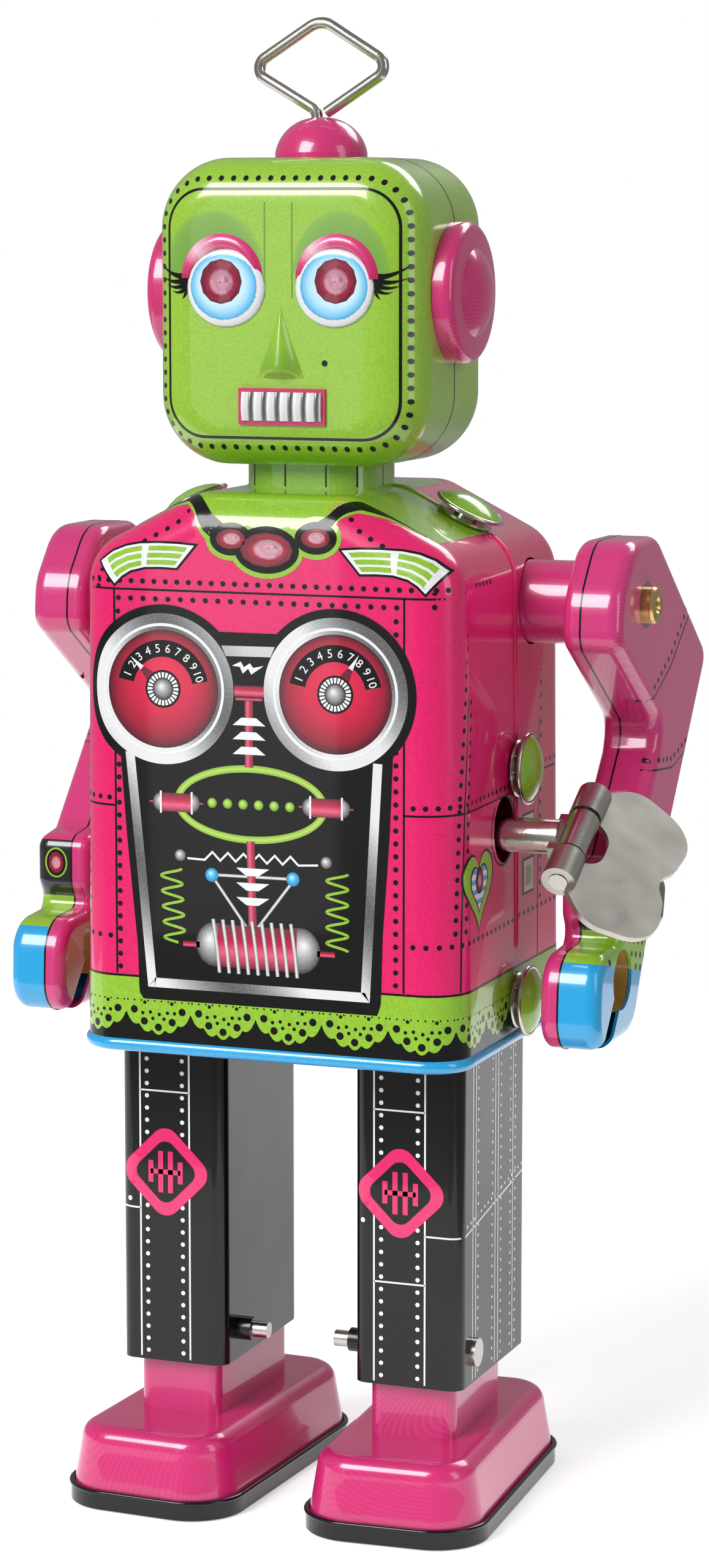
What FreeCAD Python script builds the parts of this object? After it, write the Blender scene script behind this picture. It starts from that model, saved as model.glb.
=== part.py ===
"""Wind-up walking toy robot of lithographed tin plate.

The robot stands on the plane z = 0, faces -Y, and has its own left side at +X.
All sizes are millimetres and degrees.
"""
import FreeCAD
import Part
import math
import os
import re

Vector = FreeCAD.Vector
doc = FreeCAD.newDocument("ToyRobot")
sheet = doc.addObject("Spreadsheet::Sheet", "Sizes")

# ---------------------------------------------------------------- driving sizes
SIZES = {
    "gauge": 0.5,                 # tin plate
    "fit_gap": 0.05,              # radial running clearance of pins and arbors
    # body case
    "body_low": 74.8, "body_width_low": 63.7, "body_width_high": 62.1,
    "shoulder_line": 147.3, "shoulder_top": 162.2, "neck_flat": 12.5,
    "seam_y": 4.0, "body_front": 25.2, "body_back": 29.2, "body_round": 6.5,
    "base_floor": 75.2, "base_gauge": 0.8,
    # neck and head
    "neck_width": 21.5, "neck_depth": 18.0, "neck_low": 162.2, "neck_high": 167.6,
    "head_width": 44.4, "head_low": 166.0, "head_high": 213.3, "head_front": 17.0,
    "head_back": 17.0, "head_round": 7.0, "head_corner": 11.0,
    "ear_radius": 11.0, "ear_height": 192.6, "ear_depth": 5.7,
    "dome_radius": 7.2, "dome_rise": 6.2, "wire_radius": 0.9,
    # shoulders and arms
    "shoulder_y": 12.0, "shoulder_z": 143.9, "sleeve_radius": 6.6,
    "arm_inner_face": 40.4, "arm_seam": 43.5, "arm_outer_face": 50.0,
    "arm_round": 2.2, "rivet_radius": 1.6, "rivet_head": 2.9, "washer_x": 28.6,
    "washer_gauge": 0.6, "washer_radius": 7.6,
    "claw_y": 1.0, "claw_z": 86.0, "claw_radius": 4.8, "claw_mouth": 3.6,
    # clockwork: arbors run along X between two plates
    "key_y": -3.0, "key_z": 108.7, "crank_y": 1.0, "crank_z": 96.33,
    "third_y": 11.8, "third_z": 100.27, "escape_y": 15.06, "escape_z": 109.16,
    "pallet_y": 15.06, "pallet_z": 117.2,
    "plate_inner": 8.0, "plate_gauge": 1.0, "gear_module": 0.5,
    "great_teeth": 40, "crank_pinion_teeth": 12, "crank_wheel_teeth": 36,
    "third_pinion_teeth": 10, "third_wheel_teeth": 30, "escape_pinion_teeth": 8,
    "escape_teeth": 15, "escape_module": 0.7, "ratchet_teeth": 12, "ratchet_module": 0.9,
    "crank_throw": 2.2,
    # winding key
    "key_stem_end": 41.0, "wing_span": 31.0, "wing_reach": 15.5, "wing_pin_x": 43.6,
    "wing_tilt": 30.0, "wing_fold": 35.0, "wing_gauge": 1.0,
    # legs
    "leg_x": 20.0, "leg_y": 1.0, "leg_width": 18.0, "leg_depth": 32.0,
    "leg_low": 21.5, "leg_high": 91.5, "hip_y": 1.0, "hip_z": 84.6, "hip_radius": 1.5,
    "ankle_y": -9.0, "ankle_z": 26.5, "ankle_radius": 1.3,
    # feet
    "foot_x": 19.4, "foot_y": -0.5, "foot_width": 29.6, "foot_length": 56.4,
    "toe_out": 3.0, "sole_height": 3.0, "shoe_height": 12.7, "shoe_taper": 2.2,
    "post_width": 14.0, "post_depth": 27.5, "post_y": 1.25, "post_high": 31.0,
    "roller_radius": 3.6, "roller_y": -14.0, "roller_width": 9.0,
    # seam buttons
    "button_radius": 5.8, "button_rise": 2.2,
}
for row, (name, value) in enumerate(SIZES.items(), start=1):
    sheet.set(f"A{row}", name)
    sheet.set(f"B{row}", str(value))
    sheet.setAlias(f"B{row}", name)
doc.recompute()

ALIAS = re.compile(r"\b(" + "|".join(sorted(SIZES, key=len, reverse=True)) + r")\b")
NODES = []


def size(name):
    """The number in the cell with this alias."""
    return float(sheet.get(name))


def bind(thing, prop, words):
    """Drives a property by an expression written with the sheet's aliases."""
    thing.setExpression(prop, ALIAS.sub(r"Sizes.\1", str(words)))


def node(thing, label):
    """Names a finished sub-part, which is later written to a file of that name."""
    thing.Label = label
    NODES.append(thing)
    return thing


def place(thing, x="0", y="0", z="0", rotation=None):
    """Sets a sub-part's turn and binds its position."""
    if rotation is not None:
        thing.Placement = FreeCAD.Placement(Vector(), rotation)
    for axis, words in zip("xyz", (x, y, z)):
        bind(thing, f"Placement.Base.{axis}", words)
    return thing


ALONG_X = FreeCAD.Rotation(Vector(0, 1, 0), 90)
UPRIGHT = FreeCAD.Rotation()


def slab(x, y, z, length, width, height):
    """A box whose lowest corner is at x, y, z."""
    box = doc.addObject("Part::Box", "Slab")
    bind(box, "Length", length)
    bind(box, "Width", width)
    bind(box, "Height", height)
    return place(box, x, y, z)


def rod(radius, length, x, y, z, rotation=ALONG_X):
    """A round rod that starts at x, y, z and runs along X unless turned."""
    cylinder = doc.addObject("Part::Cylinder", "Rod")
    bind(cylinder, "Radius", radius)
    bind(cylinder, "Height", length)
    return place(cylinder, x, y, z, rotation)


def cut(base, *tools):
    """The base with every tool taken away."""
    for tool in tools:
        result = doc.addObject("Part::Cut", "Cut")
        result.Base = base
        result.Tool = tool
        base = result
    return base


def fuse(*parts):
    """One solid from touching parts."""
    result = doc.addObject("Part::MultiFuse", "Fuse")
    result.Shapes = list(parts)
    return result


def group(*parts):
    """Separate identical solids in one sub-part."""
    result = doc.addObject("Part::Compound", "Group")
    result.Links = list(parts)
    return result


def mirror(source):
    """The same piece for the robot's other side."""
    result = doc.addObject("Part::Mirroring", "Mirror")
    result.Source = source
    result.Normal = Vector(1, 0, 0)
    return result


def corner_edges(corners):
    """Lines and tangent arcs of a closed outline given as (u, v, radius) corners."""
    points = [Vector(u, v, 0) for u, v, _ in corners]
    count = len(corners)
    stops = []
    for i, (_, _, radius) in enumerate(corners):
        back = (points[i - 1] - points[i]).normalize()
        ahead = (points[(i + 1) % count] - points[i]).normalize()
        half = back.getAngle(ahead) / 2
        run = radius / math.tan(half) if radius else 0
        middle = (back + ahead).normalize()
        dip = radius / math.sin(half) - radius if radius else 0
        stops.append((points[i] + back * run, points[i] + middle * dip, points[i] + ahead * run))
    edges = []
    for i in range(count):
        start, middle, end = stops[i]
        if corners[i][2]:
            edges.append(Part.Arc(start, middle, end))
        following = stops[(i + 1) % count][0]
        if (following - end).Length > 1e-6:
            edges.append(Part.LineSegment(end, following))
    return edges


def inset(corners, distance):
    """The outline moved inwards; corners run anticlockwise."""
    points = [Vector(u, v, 0) for u, v, _ in corners]
    count = len(points)
    moved = []
    for i in range(count):
        before = (points[i] - points[i - 1]).normalize()
        after = (points[(i + 1) % count] - points[i]).normalize()
        turn = before.x * after.y - before.y * after.x
        left = Vector(-before.y - after.y, before.x + after.x, 0)
        scale = distance / (1 + before.dot(after))
        radius = corners[i][2]
        if radius:
            radius = radius - distance if turn > 0 else radius + distance
        spot = points[i] + left * scale
        moved.append((spot.x, spot.y, radius))
    return moved


def pad(name, plane, edges, start, depth, reverse=False, edge_round=None, keep=None):
    """A body padded from a sketch of edges on an origin plane; edge_round rounds its far rim.

    keep picks the rim's edges to round by their centre of mass.
    """
    body = doc.addObject("PartDesign::Body", name)
    sketch = body.newObject("Sketcher::SketchObject", name + "Sketch")
    support = [f for f in body.Origin.OriginFeatures if f.Role == plane][0]
    sketch.AttachmentSupport = [(support, "")]
    sketch.MapMode = "FlatFace"
    bind(sketch, "AttachmentOffset.Base.z", start)
    for edge in edges:
        sketch.addGeometry(edge)
    feature = body.newObject("PartDesign::Pad", name + "Pad")
    feature.Profile = sketch
    feature.Reversed = reverse
    bind(feature, "Length", depth)
    doc.recompute()
    if edge_round is not None:
        normal = sketch.Placement.Rotation.multVec(Vector(0, 0, -1 if reverse else 1))
        far = max(v.Point.dot(normal) for v in feature.Shape.Vertexes)
        rim = []
        for i, edge in enumerate(feature.Shape.Edges, start=1):
            level = all(abs(v.Point.dot(normal) - far) < 1e-4 for v in edge.Vertexes)
            if level and (keep is None or keep(edge.CenterOfMass)):
                rim.append(f"Edge{i}")
        rounding = body.newObject("PartDesign::Fillet", name + "Round")
        rounding.Base = (feature, rim)
        bind(rounding, "Radius", edge_round)
        body.Tip = rounding
        doc.recompute()
    return body


def cup(name, plane, corners, start, depth, reverse, edge_round, keep=None, spill=None):
    """A drawn tin cup: an outer blank less an inner one, each with its rim rounded.

    spill moves the inner blank's corners so that the cup opens on one side.
    """
    outer = pad(name + "Out", plane, corner_edges(corners), start, depth, reverse, edge_round, keep)
    inner_corners = inset(corners, size("gauge"))
    if spill is not None:
        inner_corners = spill(inner_corners)
    inner = pad(name + "In", plane, corner_edges(inner_corners), start,
                f"{depth} - gauge", reverse, f"{edge_round} - gauge", keep)
    return cut(outer, inner)


def rounded_rectangle(centre_u, centre_v, width, height, radius):
    """Corners of a rectangle, anticlockwise."""
    signs = ((-1, -1), (1, -1), (1, 1), (-1, 1))
    return [(centre_u + a * width / 2, centre_v + b * height / 2, radius) for a, b in signs]


def turned(name, profile, x="0", y="0", z="0", rotation=UPRIGHT):
    """A turned piece: a closed profile of edges in (radius, height), spun about its own axis."""
    body = doc.addObject("PartDesign::Body", name)
    sketch = body.newObject("Sketcher::SketchObject", name + "Sketch")
    support = [f for f in body.Origin.OriginFeatures if f.Role == "XZ_Plane"][0]
    sketch.AttachmentSupport = [(support, "")]
    sketch.MapMode = "FlatFace"
    for edge in profile:
        sketch.addGeometry(edge)
    feature = body.newObject("PartDesign::Revolution", name + "Spin")
    feature.Profile = sketch
    feature.ReferenceAxis = (sketch, ["V_Axis"])
    feature.Angle = 360
    return place(body, x, y, z, rotation)


def polygon(points):
    """Straight edges through (u, v) points, closed."""
    vectors = [Vector(u, v, 0) for u, v in points]
    return [Part.LineSegment(a, b) for a, b in zip(vectors, vectors[1:] + vectors[:1])]


def toothed(name, teeth, thick, x, y, z, phase=0.0, slender=0.90, tip=0.85, module="gear_module"):
    """A spur gear about X: a root disc, one tooth, and a polar pattern of it."""
    module = size(module)
    count = int(size(teeth))
    pitch = module * count / 2
    root = pitch - 1.1 * module
    top = pitch + tip * module
    half = math.pi * module / 4 * slender
    slope = math.tan(math.radians(20))
    body = doc.addObject("PartDesign::Body", name)
    plane = [f for f in body.Origin.OriginFeatures if f.Role == "YZ_Plane"][0]
    axis = [f for f in body.Origin.OriginFeatures if f.Role == "X_Axis"][0]
    disc = body.newObject("Sketcher::SketchObject", name + "Disc")
    disc.AttachmentSupport = [(plane, "")]
    disc.MapMode = "FlatFace"
    disc.addGeometry(Part.Circle(Vector(), Vector(0, 0, 1), root))
    web = body.newObject("PartDesign::Pad", name + "Web")
    web.Profile = disc
    bind(web, "Length", thick)
    flank = body.newObject("Sketcher::SketchObject", name + "Tooth")
    flank.AttachmentSupport = [(plane, "")]
    flank.MapMode = "FlatFace"
    low = root - 0.2 * module
    narrow = max(half - (top - pitch) * slope * 1.5, 0.1 * module)
    side = [(low, half + (pitch - root) * slope), (pitch, half), (top, narrow)]
    points = [(r, -w) for r, w in side] + [(r, w) for r, w in reversed(side)]
    for edge in polygon(points):
        flank.addGeometry(edge)
    tooth = body.newObject("PartDesign::Pad", name + "ToothPad")
    tooth.Profile = flank
    bind(tooth, "Length", thick)
    doc.recompute()
    pattern = body.newObject("PartDesign::PolarPattern", name + "Teeth")
    pattern.Originals = [tooth]
    pattern.Axis = (axis, [""])
    pattern.Angle = 360
    bind(pattern, "Occurrences", teeth)
    body.Tip = pattern
    return place(body, x, y, z, FreeCAD.Rotation(Vector(1, 0, 0), phase))


# ---------------------------------------------------------------- body case
# Two drawn half shells with sloping shoulders meet at a seam round the sides and top.
def case_corners():
    low = size("body_width_low") / 2
    high = size("body_width_high") / 2
    neck = size("neck_flat")
    return [(-low, size("body_low"), 0), (low, size("body_low"), 0),
            (high, size("shoulder_line") + 5.5, 8.0), (neck, size("shoulder_top"), 7.0),
            (-neck, size("shoulder_top"), 7.0), (-high, size("shoulder_line") + 5.5, 8.0)]


def open_below(corners):
    """Drops the two lowest corners past the rim, so the cup has no floor."""
    lowest = min(v for _, v, _ in corners)
    return [(u, v - 3 if abs(v - lowest) < 1e-6 else v, r) for u, v, r in corners]


def above_rim(point):
    return point.z > size("body_low") + 0.1


front_cup = cup("CaseFront", "XZ_Plane", case_corners(), "-seam_y", "body_front + seam_y", False,
                "body_round", above_rim, open_below)
back_cup = cup("CaseBack", "XZ_Plane", case_corners(), "-seam_y - 0.02", "body_back - seam_y - 0.02",
               True, "body_round", above_rim, open_below)
key_hole = rod("5.3", "12", "24", "key_y + 1", "key_z + 0.6")
sleeve_hole_left = rod("sleeve_radius + 0.3", "12", "24", "shoulder_y", "shoulder_z")
sleeve_hole_right = rod("sleeve_radius + 0.3", "12", "-36", "shoulder_y", "shoulder_z")
node(cut(front_cup, key_hole), "body_front_shell")
node(cut(back_cup, sleeve_hole_left, sleeve_hole_right), "body_back_shell")

# The base plate closes the case and leaves a slot for each leg to swing in.
base_corners = rounded_rectangle(0, (size("body_back") - size("body_front")) / 2,
                                 size("body_width_low") - 2 * size("gauge") - 0.4,
                                 size("body_back") + size("body_front") - 2 * size("gauge") - 0.4,
                                 size("body_round") - size("gauge"))
base = pad("Base", "XY_Plane", corner_edges(base_corners), "base_floor", "base_gauge")
slots = [slab(f"{side}*leg_x - leg_width/2 - 0.5", "leg_y - leg_depth/2 - 3.5", "base_floor - 1",
              "leg_width + 1", "leg_depth + 7", "base_gauge + 2") for side in ("1", "-1")]
node(cut(base, *slots), "base_plate")

# ---------------------------------------------------------------- neck, head, ears, antenna
neck_outer = rounded_rectangle(0, 0, size("neck_width"), size("neck_depth"), 6.0)
neck_blank = pad("NeckOut", "XY_Plane", corner_edges(neck_outer), "neck_low", "neck_high - neck_low")
neck_bore = pad("NeckIn", "XY_Plane", corner_edges(inset(neck_outer, size("gauge"))), "neck_low - 1",
                "neck_high - neck_low + 2")
node(cut(neck_blank, neck_bore), "neck_collar")

head_middle = (size("head_low") + size("head_high")) / 2
head_corners = rounded_rectangle(0, head_middle, size("head_width"), size("head_high") - size("head_low"),
                                 size("head_corner"))
neck_seat = pad("NeckSeat", "XY_Plane", corner_edges(inset(neck_outer, -0.02)), "neck_low",
                "neck_high - neck_low + 0.02")
head_front = cup("HeadFront", "XZ_Plane", head_corners, "0", "head_front", False, "head_round")
head_back = cup("HeadBack", "XZ_Plane", head_corners, "-0.02", "head_back - 0.02", True, "head_round")
node(cut(head_front, neck_seat), "head_front_shell")
node(cut(head_back, neck_seat), "head_back_shell")


def ear_profile():
    """A stepped disc with a rounded crown, 0.6 thick, hollow behind."""
    radius = size("ear_radius")
    depth = size("ear_depth")
    wall = 0.6
    crown = Vector(0, depth, 0)
    shoulder = Vector(radius * 0.62, depth - 2.2, 0)
    over = Vector(radius * 0.36, depth - 0.62, 0)
    return [Part.LineSegment(Vector(0, depth - wall, 0), crown),
            Part.Arc(crown, over, shoulder),
            Part.LineSegment(shoulder, Vector(radius - 1.6, depth - 2.4, 0)),
            Part.Arc(Vector(radius - 1.6, depth - 2.4, 0), Vector(radius - 0.47, depth - 2.87, 0),
                     Vector(radius, depth - 4.0, 0)),
            Part.LineSegment(Vector(radius, depth - 4.0, 0), Vector(radius, 0, 0)),
            Part.LineSegment(Vector(radius, 0, 0), Vector(radius - wall, 0, 0)),
            Part.LineSegment(Vector(radius - wall, 0, 0), Vector(radius - wall, depth - 4.0, 0)),
            Part.LineSegment(Vector(radius - wall, depth - 4.0, 0), Vector(radius - 1.6, depth - 3.0, 0)),
            Part.LineSegment(Vector(radius - 1.6, depth - 3.0, 0), Vector(radius * 0.6, depth - 2.8, 0)),
            Part.LineSegment(Vector(radius * 0.6, depth - 2.8, 0), Vector(0, depth - wall, 0))]


ear_left = turned("Ear", ear_profile(), "head_width/2 + 0.01", "0", "ear_height", ALONG_X)
node(ear_left, "ear_cap_left")
node(mirror(ear_left), "ear_cap_right")


def dome_profile():
    """A small drawn cap with an upright rim, 0.5 thick."""
    radius = size("dome_radius")
    rise = size("dome_rise")
    gauge = size("gauge")
    return [Part.LineSegment(Vector(0, rise - gauge, 0), Vector(0, rise, 0)),
            Part.Arc(Vector(0, rise, 0), Vector(radius * 0.72, rise * 0.72, 0), Vector(radius, 0.8, 0)),
            Part.LineSegment(Vector(radius, 0.8, 0), Vector(radius, 0, 0)),
            Part.LineSegment(Vector(radius, 0, 0), Vector(radius - gauge, 0, 0)),
            Part.LineSegment(Vector(radius - gauge, 0, 0), Vector(radius - gauge, 0.8, 0)),
            Part.Arc(Vector(radius - gauge, 0.8, 0), Vector(radius * 0.72 - 0.36, rise * 0.72 - 0.36, 0),
                     Vector(0, rise - gauge, 0))]


dome = turned("Dome", dome_profile(), "0", "0", "head_high + 0.02")
dome_hole = rod("wire_radius + fit_gap", "8", "-0.7", "0", "head_high + 2", UPRIGHT)
node(cut(dome, dome_hole), "antenna_dome")

# The antenna is one nickel wire: a straight foot in the dome and a rounded diamond loop.
antenna_route = [(-0.7, 216.0, 0), (-0.7, 220.6, 1.6), (-12.0, 227.2, 1.8), (0.1, 234.7, 3.7),
                 (12.0, 227.3, 1.9), (0.9, 220.3, 0)]


def open_route(corners):
    """Runs joined by tangent arcs, ends kept sharp, in the XZ plane."""
    closed = corner_edges(corners)
    edges = closed[:-1]
    wires = []
    for edge in edges:
        shape = edge.toShape()
        shape.rotate(Vector(), Vector(1, 0, 0), 90)
        wires.append(shape)
    return Part.Wire(Part.__sortEdges__(wires))


route = open_route(antenna_route)
section = Part.Wire(Part.makeCircle(size("wire_radius"), Vector(-0.7, 0, 216.0), Vector(0, 0, 1)))
antenna = doc.addObject("Part::Feature", "Antenna")
antenna.Shape = route.makePipeShell([section], True, False)
node(antenna, "antenna_wire")

# ---------------------------------------------------------------- seam buttons
# Each button is a domed cap on a short stem and a foot that bridges the seam.
def button_profile():
    radius = size("button_radius")
    rise = size("button_rise")
    return [Part.LineSegment(Vector(0, 0, 0), Vector(0, rise + 1.4, 0)),
            Part.Arc(Vector(0, rise + 1.4, 0), Vector(radius * 0.55, rise + 0.95, 0),
                     Vector(radius, rise - 0.4, 0)),
            Part.LineSegment(Vector(radius, rise - 0.4, 0), Vector(radius - 0.6, rise - 0.7, 0)),
            Part.LineSegment(Vector(radius - 0.6, rise - 0.7, 0), Vector(2.0, rise - 0.5, 0)),
            Part.LineSegment(Vector(2.0, rise - 0.5, 0), Vector(2.0, 0.6, 0)),
            Part.LineSegment(Vector(2.0, 0.6, 0), Vector(4.6, 0.5, 0)),
            Part.LineSegment(Vector(4.6, 0.5, 0), Vector(4.6, 0, 0)),
            Part.LineSegment(Vector(4.6, 0, 0), Vector(0, 0, 0))]


shoulder_slope = math.degrees(math.atan2(size("shoulder_top") - size("shoulder_line") - 5.5,
                                         size("body_width_high") / 2 - size("neck_flat")))
buttons = []
for side in (1, -1):
    seats = [(22.6, 157.42, 90 - shoulder_slope), (31.6, 118.2, 0.0), (31.9, 81.0, 0.0)]
    for i, (out, height, lean) in enumerate(seats):
        turn = FreeCAD.Rotation(Vector(0, side, 0), 90 - lean)
        out = out + (0.0 if i == 0 else 0.02)
        buttons.append(turned(f"Button{side + 1}{i}", button_profile(), str(side * out), "seam_y",
                              str(height), turn))
node(group(*buttons), "seam_buttons")

# ---------------------------------------------------------------- shoulders and arms
# A tin sleeve runs from a washer inside the case to the arm, and one rivet holds all three.
sleeve_x = "(washer_x + washer_gauge + 0.02)"
sleeve = cut(rod("sleeve_radius", f"arm_inner_face - {sleeve_x}", sleeve_x, "shoulder_y", "shoulder_z"),
             rod("sleeve_radius - gauge", f"arm_inner_face - {sleeve_x} + 2", f"{sleeve_x} - 1",
                 "shoulder_y", "shoulder_z"))
washer = cut(rod("washer_radius", "washer_gauge", "washer_x", "shoulder_y", "shoulder_z"),
             rod("rivet_radius + 0.02", "2", "washer_x - 1", "shoulder_y", "shoulder_z"))

arm_corners = [(19.5, 154.2, 5.0), (5.5, 154.2, 8.0), (-1.6, 146.0, 8.0), (-2.3, 138.6, 4.0),
               (20.6, 124.0, 3.2), (19.2, 120.0, 3.0), (5.4, 104.6, 2.0), (-1.4, 103.6, 2.6),
               (-1.4, 95.8, 2.6), (0.8, 92.0, 1.4), (-11.6, 91.2, 6.0), (-12.4, 76.0, 5.5),
               (8.5, 76.2, 7.0), (15.6, 90.0, 3.0), (24.6, 90.4, 2.8), (26.4, 97.6, 2.8),
               (23.0, 100.4, 2.2), (48.6, 132.9, 3.6)]


def claw_cutter():
    """The keyhole in the hand: a round hole with a mouth that opens down and forwards."""
    hole = rod("claw_radius", "arm_outer_face - arm_inner_face + 4", "arm_inner_face - 2",
               "claw_y", "claw_z")
    mouth = slab("arm_inner_face - 2", "0", "0", "arm_outer_face - arm_inner_face + 4",
                 "claw_mouth", "20")
    mouth.Placement = FreeCAD.Placement(Vector(), FreeCAD.Rotation(Vector(1, 0, 0), 140))
    bind(mouth, "Placement.Base.x", "arm_inner_face - 2")
    bind(mouth, "Placement.Base.y", "claw_y + 0.5*claw_mouth*0.766")
    bind(mouth, "Placement.Base.z", "claw_z - 0.5*claw_mouth*0.643")
    return fuse(hole, mouth)


outer_blank = cup("ArmOuter", "YZ_Plane", arm_corners, "arm_seam + 0.01",
                  "arm_outer_face - arm_seam - 0.01", False, "arm_round")
inner_blank = cup("ArmInner", "YZ_Plane", arm_corners, "arm_seam", "arm_seam - arm_inner_face", True,
                  "arm_round - 0.4")
rivet_bore = rod("rivet_radius + 0.02", "arm_outer_face - arm_inner_face + 4", "arm_inner_face - 2",
                 "shoulder_y", "shoulder_z")
claw = claw_cutter()
arm_outer = cut(outer_blank, rivet_bore, claw)
arm_inner = cut(inner_blank, rivet_bore, claw)
shank = rod("rivet_radius", "arm_outer_face + 0.6 - washer_x + 0.8", "washer_x - 0.8",
            "shoulder_y", "shoulder_z")
head = rod("rivet_head", "1.2", "arm_outer_face + 0.01", "shoulder_y", "shoulder_z")
tail = rod("rivet_radius + 0.9", "0.78", "washer_x - 0.8", "shoulder_y", "shoulder_z")
rivet = fuse(shank, head, tail)
for thing, label in ((arm_outer, "arm_outer_shell"), (arm_inner, "arm_inner_shell"),
                     (sleeve, "shoulder_sleeve"), (rivet, "shoulder_rivet"), (washer, "shoulder_washer")):
    node(thing, label + "_left")
    node(mirror(thing), label + "_right")

# ---------------------------------------------------------------- clockwork frame
plate_corners = [(-17, 76.05, 0), (23, 76.05, 0), (23, 124, 3), (-17, 124, 3)]
PILLARS = [(-13.5, 80.0), (19.5, 80.0), (-13.5, 120.5), (20.0, 121.0)]
ARBORS = [("key", 2.2), ("crank", 1.2), ("third", 0.9), ("escape", 0.8), ("pallet", 0.8)]


def motor_plate(name, x):
    """A steel side plate with holes for the arbors, the hip axle and the pillars."""
    blank = pad(name, "YZ_Plane", corner_edges(plate_corners), x, "plate_gauge")
    tools = [rod(f"{radius} + fit_gap", "plate_gauge + 2", f"{x} - 1", f"{arbor}_y", f"{arbor}_z")
             for arbor, radius in ARBORS]
    tools.append(rod("hip_radius", "plate_gauge + 2", f"{x} - 1", "hip_y", "hip_z"))
    tools += [rod("1.0", "plate_gauge + 2", f"{x} - 1", str(y), str(z)) for y, z in PILLARS]
    return cut(blank, *tools)


node(motor_plate("PlateLeft", "plate_inner"), "motor_plate_left")
node(motor_plate("PlateRight", "-plate_inner - plate_gauge"), "motor_plate_right")
pillars = []
nuts = []
for y, z in PILLARS:
    body = rod("1.8", "2*plate_inner", "-plate_inner", str(y), str(z))
    stud = rod("1.0", "2*plate_inner + 2*plate_gauge + 2.4", "-plate_inner - plate_gauge - 1.2",
               str(y), str(z))
    pillars.append(fuse(body, stud))
    for x in ("plate_inner + plate_gauge", "-plate_inner - plate_gauge - 1"):
        nut = doc.addObject("Part::Prism", "Nut")
        nut.Polygon = 6
        nut.Circumradius = 2.0
        nut.Height = 1.0
        place(nut, x, str(y), str(z), ALONG_X)
        nuts.append(cut(nut, rod("1.0", "3", f"{x} - 1", str(y), str(z))))
node(group(*pillars), "motor_pillars")
node(group(*nuts), "pillar_nuts")
hip_axle = rod("hip_radius", "2*leg_x + leg_width + 1.6", "-leg_x - leg_width/2 - 0.8", "hip_y", "hip_z")
node(hip_axle, "hip_axle")


def half_turns(radius, pitch, turns, y, z):
    """Spiral of half circles: every second one has its centre half a pitch further along Y."""
    arcs = []
    for i in range(2 * turns):
        reach = radius + i * pitch / 2
        centre = y + (i % 2) * pitch / 2
        sign = 1 if i % 2 == 0 else -1
        arcs.append(Part.Arc(Vector(0, centre + sign * reach, z), Vector(0, centre, z + sign * reach),
                             Vector(0, centre - sign * reach, z)).toShape())
    return arcs


# The mainspring is a steel ribbon wound flat round the winding arbor.
SPRING_BORE = 3.4
SPRING_PITCH = 1.5
SPRING_TURNS = 4
RIBBON = 0.35
key_y = size("key_y")
key_z = size("key_z")
inside = half_turns(SPRING_BORE, SPRING_PITCH, SPRING_TURNS, key_y, key_z)
outside = half_turns(SPRING_BORE + RIBBON, SPRING_PITCH, SPRING_TURNS, key_y, key_z)
ends = [Part.makeLine(inside[i].Vertexes[j].Point, outside[i].Vertexes[j].Point)
        for i, j in ((0, 0), (-1, 1))]
ribbon_face = Part.Face(Part.Wire(Part.__sortEdges__(inside + outside + ends)))
mainspring = doc.addObject("Part::Feature", "Mainspring")
mainspring.Shape = ribbon_face.extrude(Vector(7.0, 0, 0))
place(mainspring, "-4.2")
node(mainspring, "mainspring")

# ---------------------------------------------------------------- winding key and its arbor
arbor = fuse(rod("2.2", "2*plate_inner + 12", "-plate_inner", "key_y", "key_z"),
             rod("2.2", "2.2", "-plate_inner - 2.2", "key_y", "key_z"))
node(arbor, "winding_arbor")
ratchet = toothed("Ratchet", "ratchet_teeth", "0.9", "-5.6", "key_y", "key_z", 0, 0.8, 1.0, "ratchet_module")
node(cut(ratchet, rod("2.2", "3", "-6.5", "key_y", "key_z")), "ratchet_wheel")

# The stem is a folded tube that grips the arbor; its flattened end is a cross bar with an eye.
wing_turn = FreeCAD.Rotation(Vector(1, 0, 0), size("wing_tilt"))
stem_tube = cut(rod("2.75", "wing_pin_x - 2.6 - 15", "15", "key_y", "key_z"),
                rod("2.2", "6.1", "14.9", "key_y", "key_z"))
neck_bar = doc.addObject("Part::Box", "KeyNeck")
bind(neck_bar, "Length", "4.2")
bind(neck_bar, "Width", "8.6")
bind(neck_bar, "Height", "2.4")


def key_frame(thing, along, across, above, roll=0.0):
    """Places a key piece in the frame of its cross pin: along X, across the pin, above it."""
    offset = wing_turn.multVec(Vector(0, across, above))
    spin = wing_turn.multiply(FreeCAD.Rotation(Vector(0, 1, 0), roll))
    thing.Placement = FreeCAD.Placement(Vector(), spin)
    bind(thing, "Placement.Base.x", f"wing_pin_x + {along:.4f}")
    bind(thing, "Placement.Base.y", f"key_y + {offset.y:.4f}")
    bind(thing, "Placement.Base.z", f"key_z + {offset.z:.4f}")
    return thing


def cross_rod(radius, length, start):
    """A rod on the cross pin's axis, which lies across the stem."""
    stick = doc.addObject("Part::Cylinder", "CrossRod")
    bind(stick, "Radius", radius)
    bind(stick, "Height", length)
    offset = wing_turn.multVec(Vector(0, start, 0))
    spin = wing_turn.multiply(FreeCAD.Rotation(Vector(1, 0, 0), -90))
    stick.Placement = FreeCAD.Placement(Vector(), spin)
    bind(stick, "Placement.Base.x", "wing_pin_x")
    bind(stick, "Placement.Base.y", f"key_y + {offset.y:.4f}")
    bind(stick, "Placement.Base.z", f"key_z + {offset.z:.4f}")
    return stick


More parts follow.
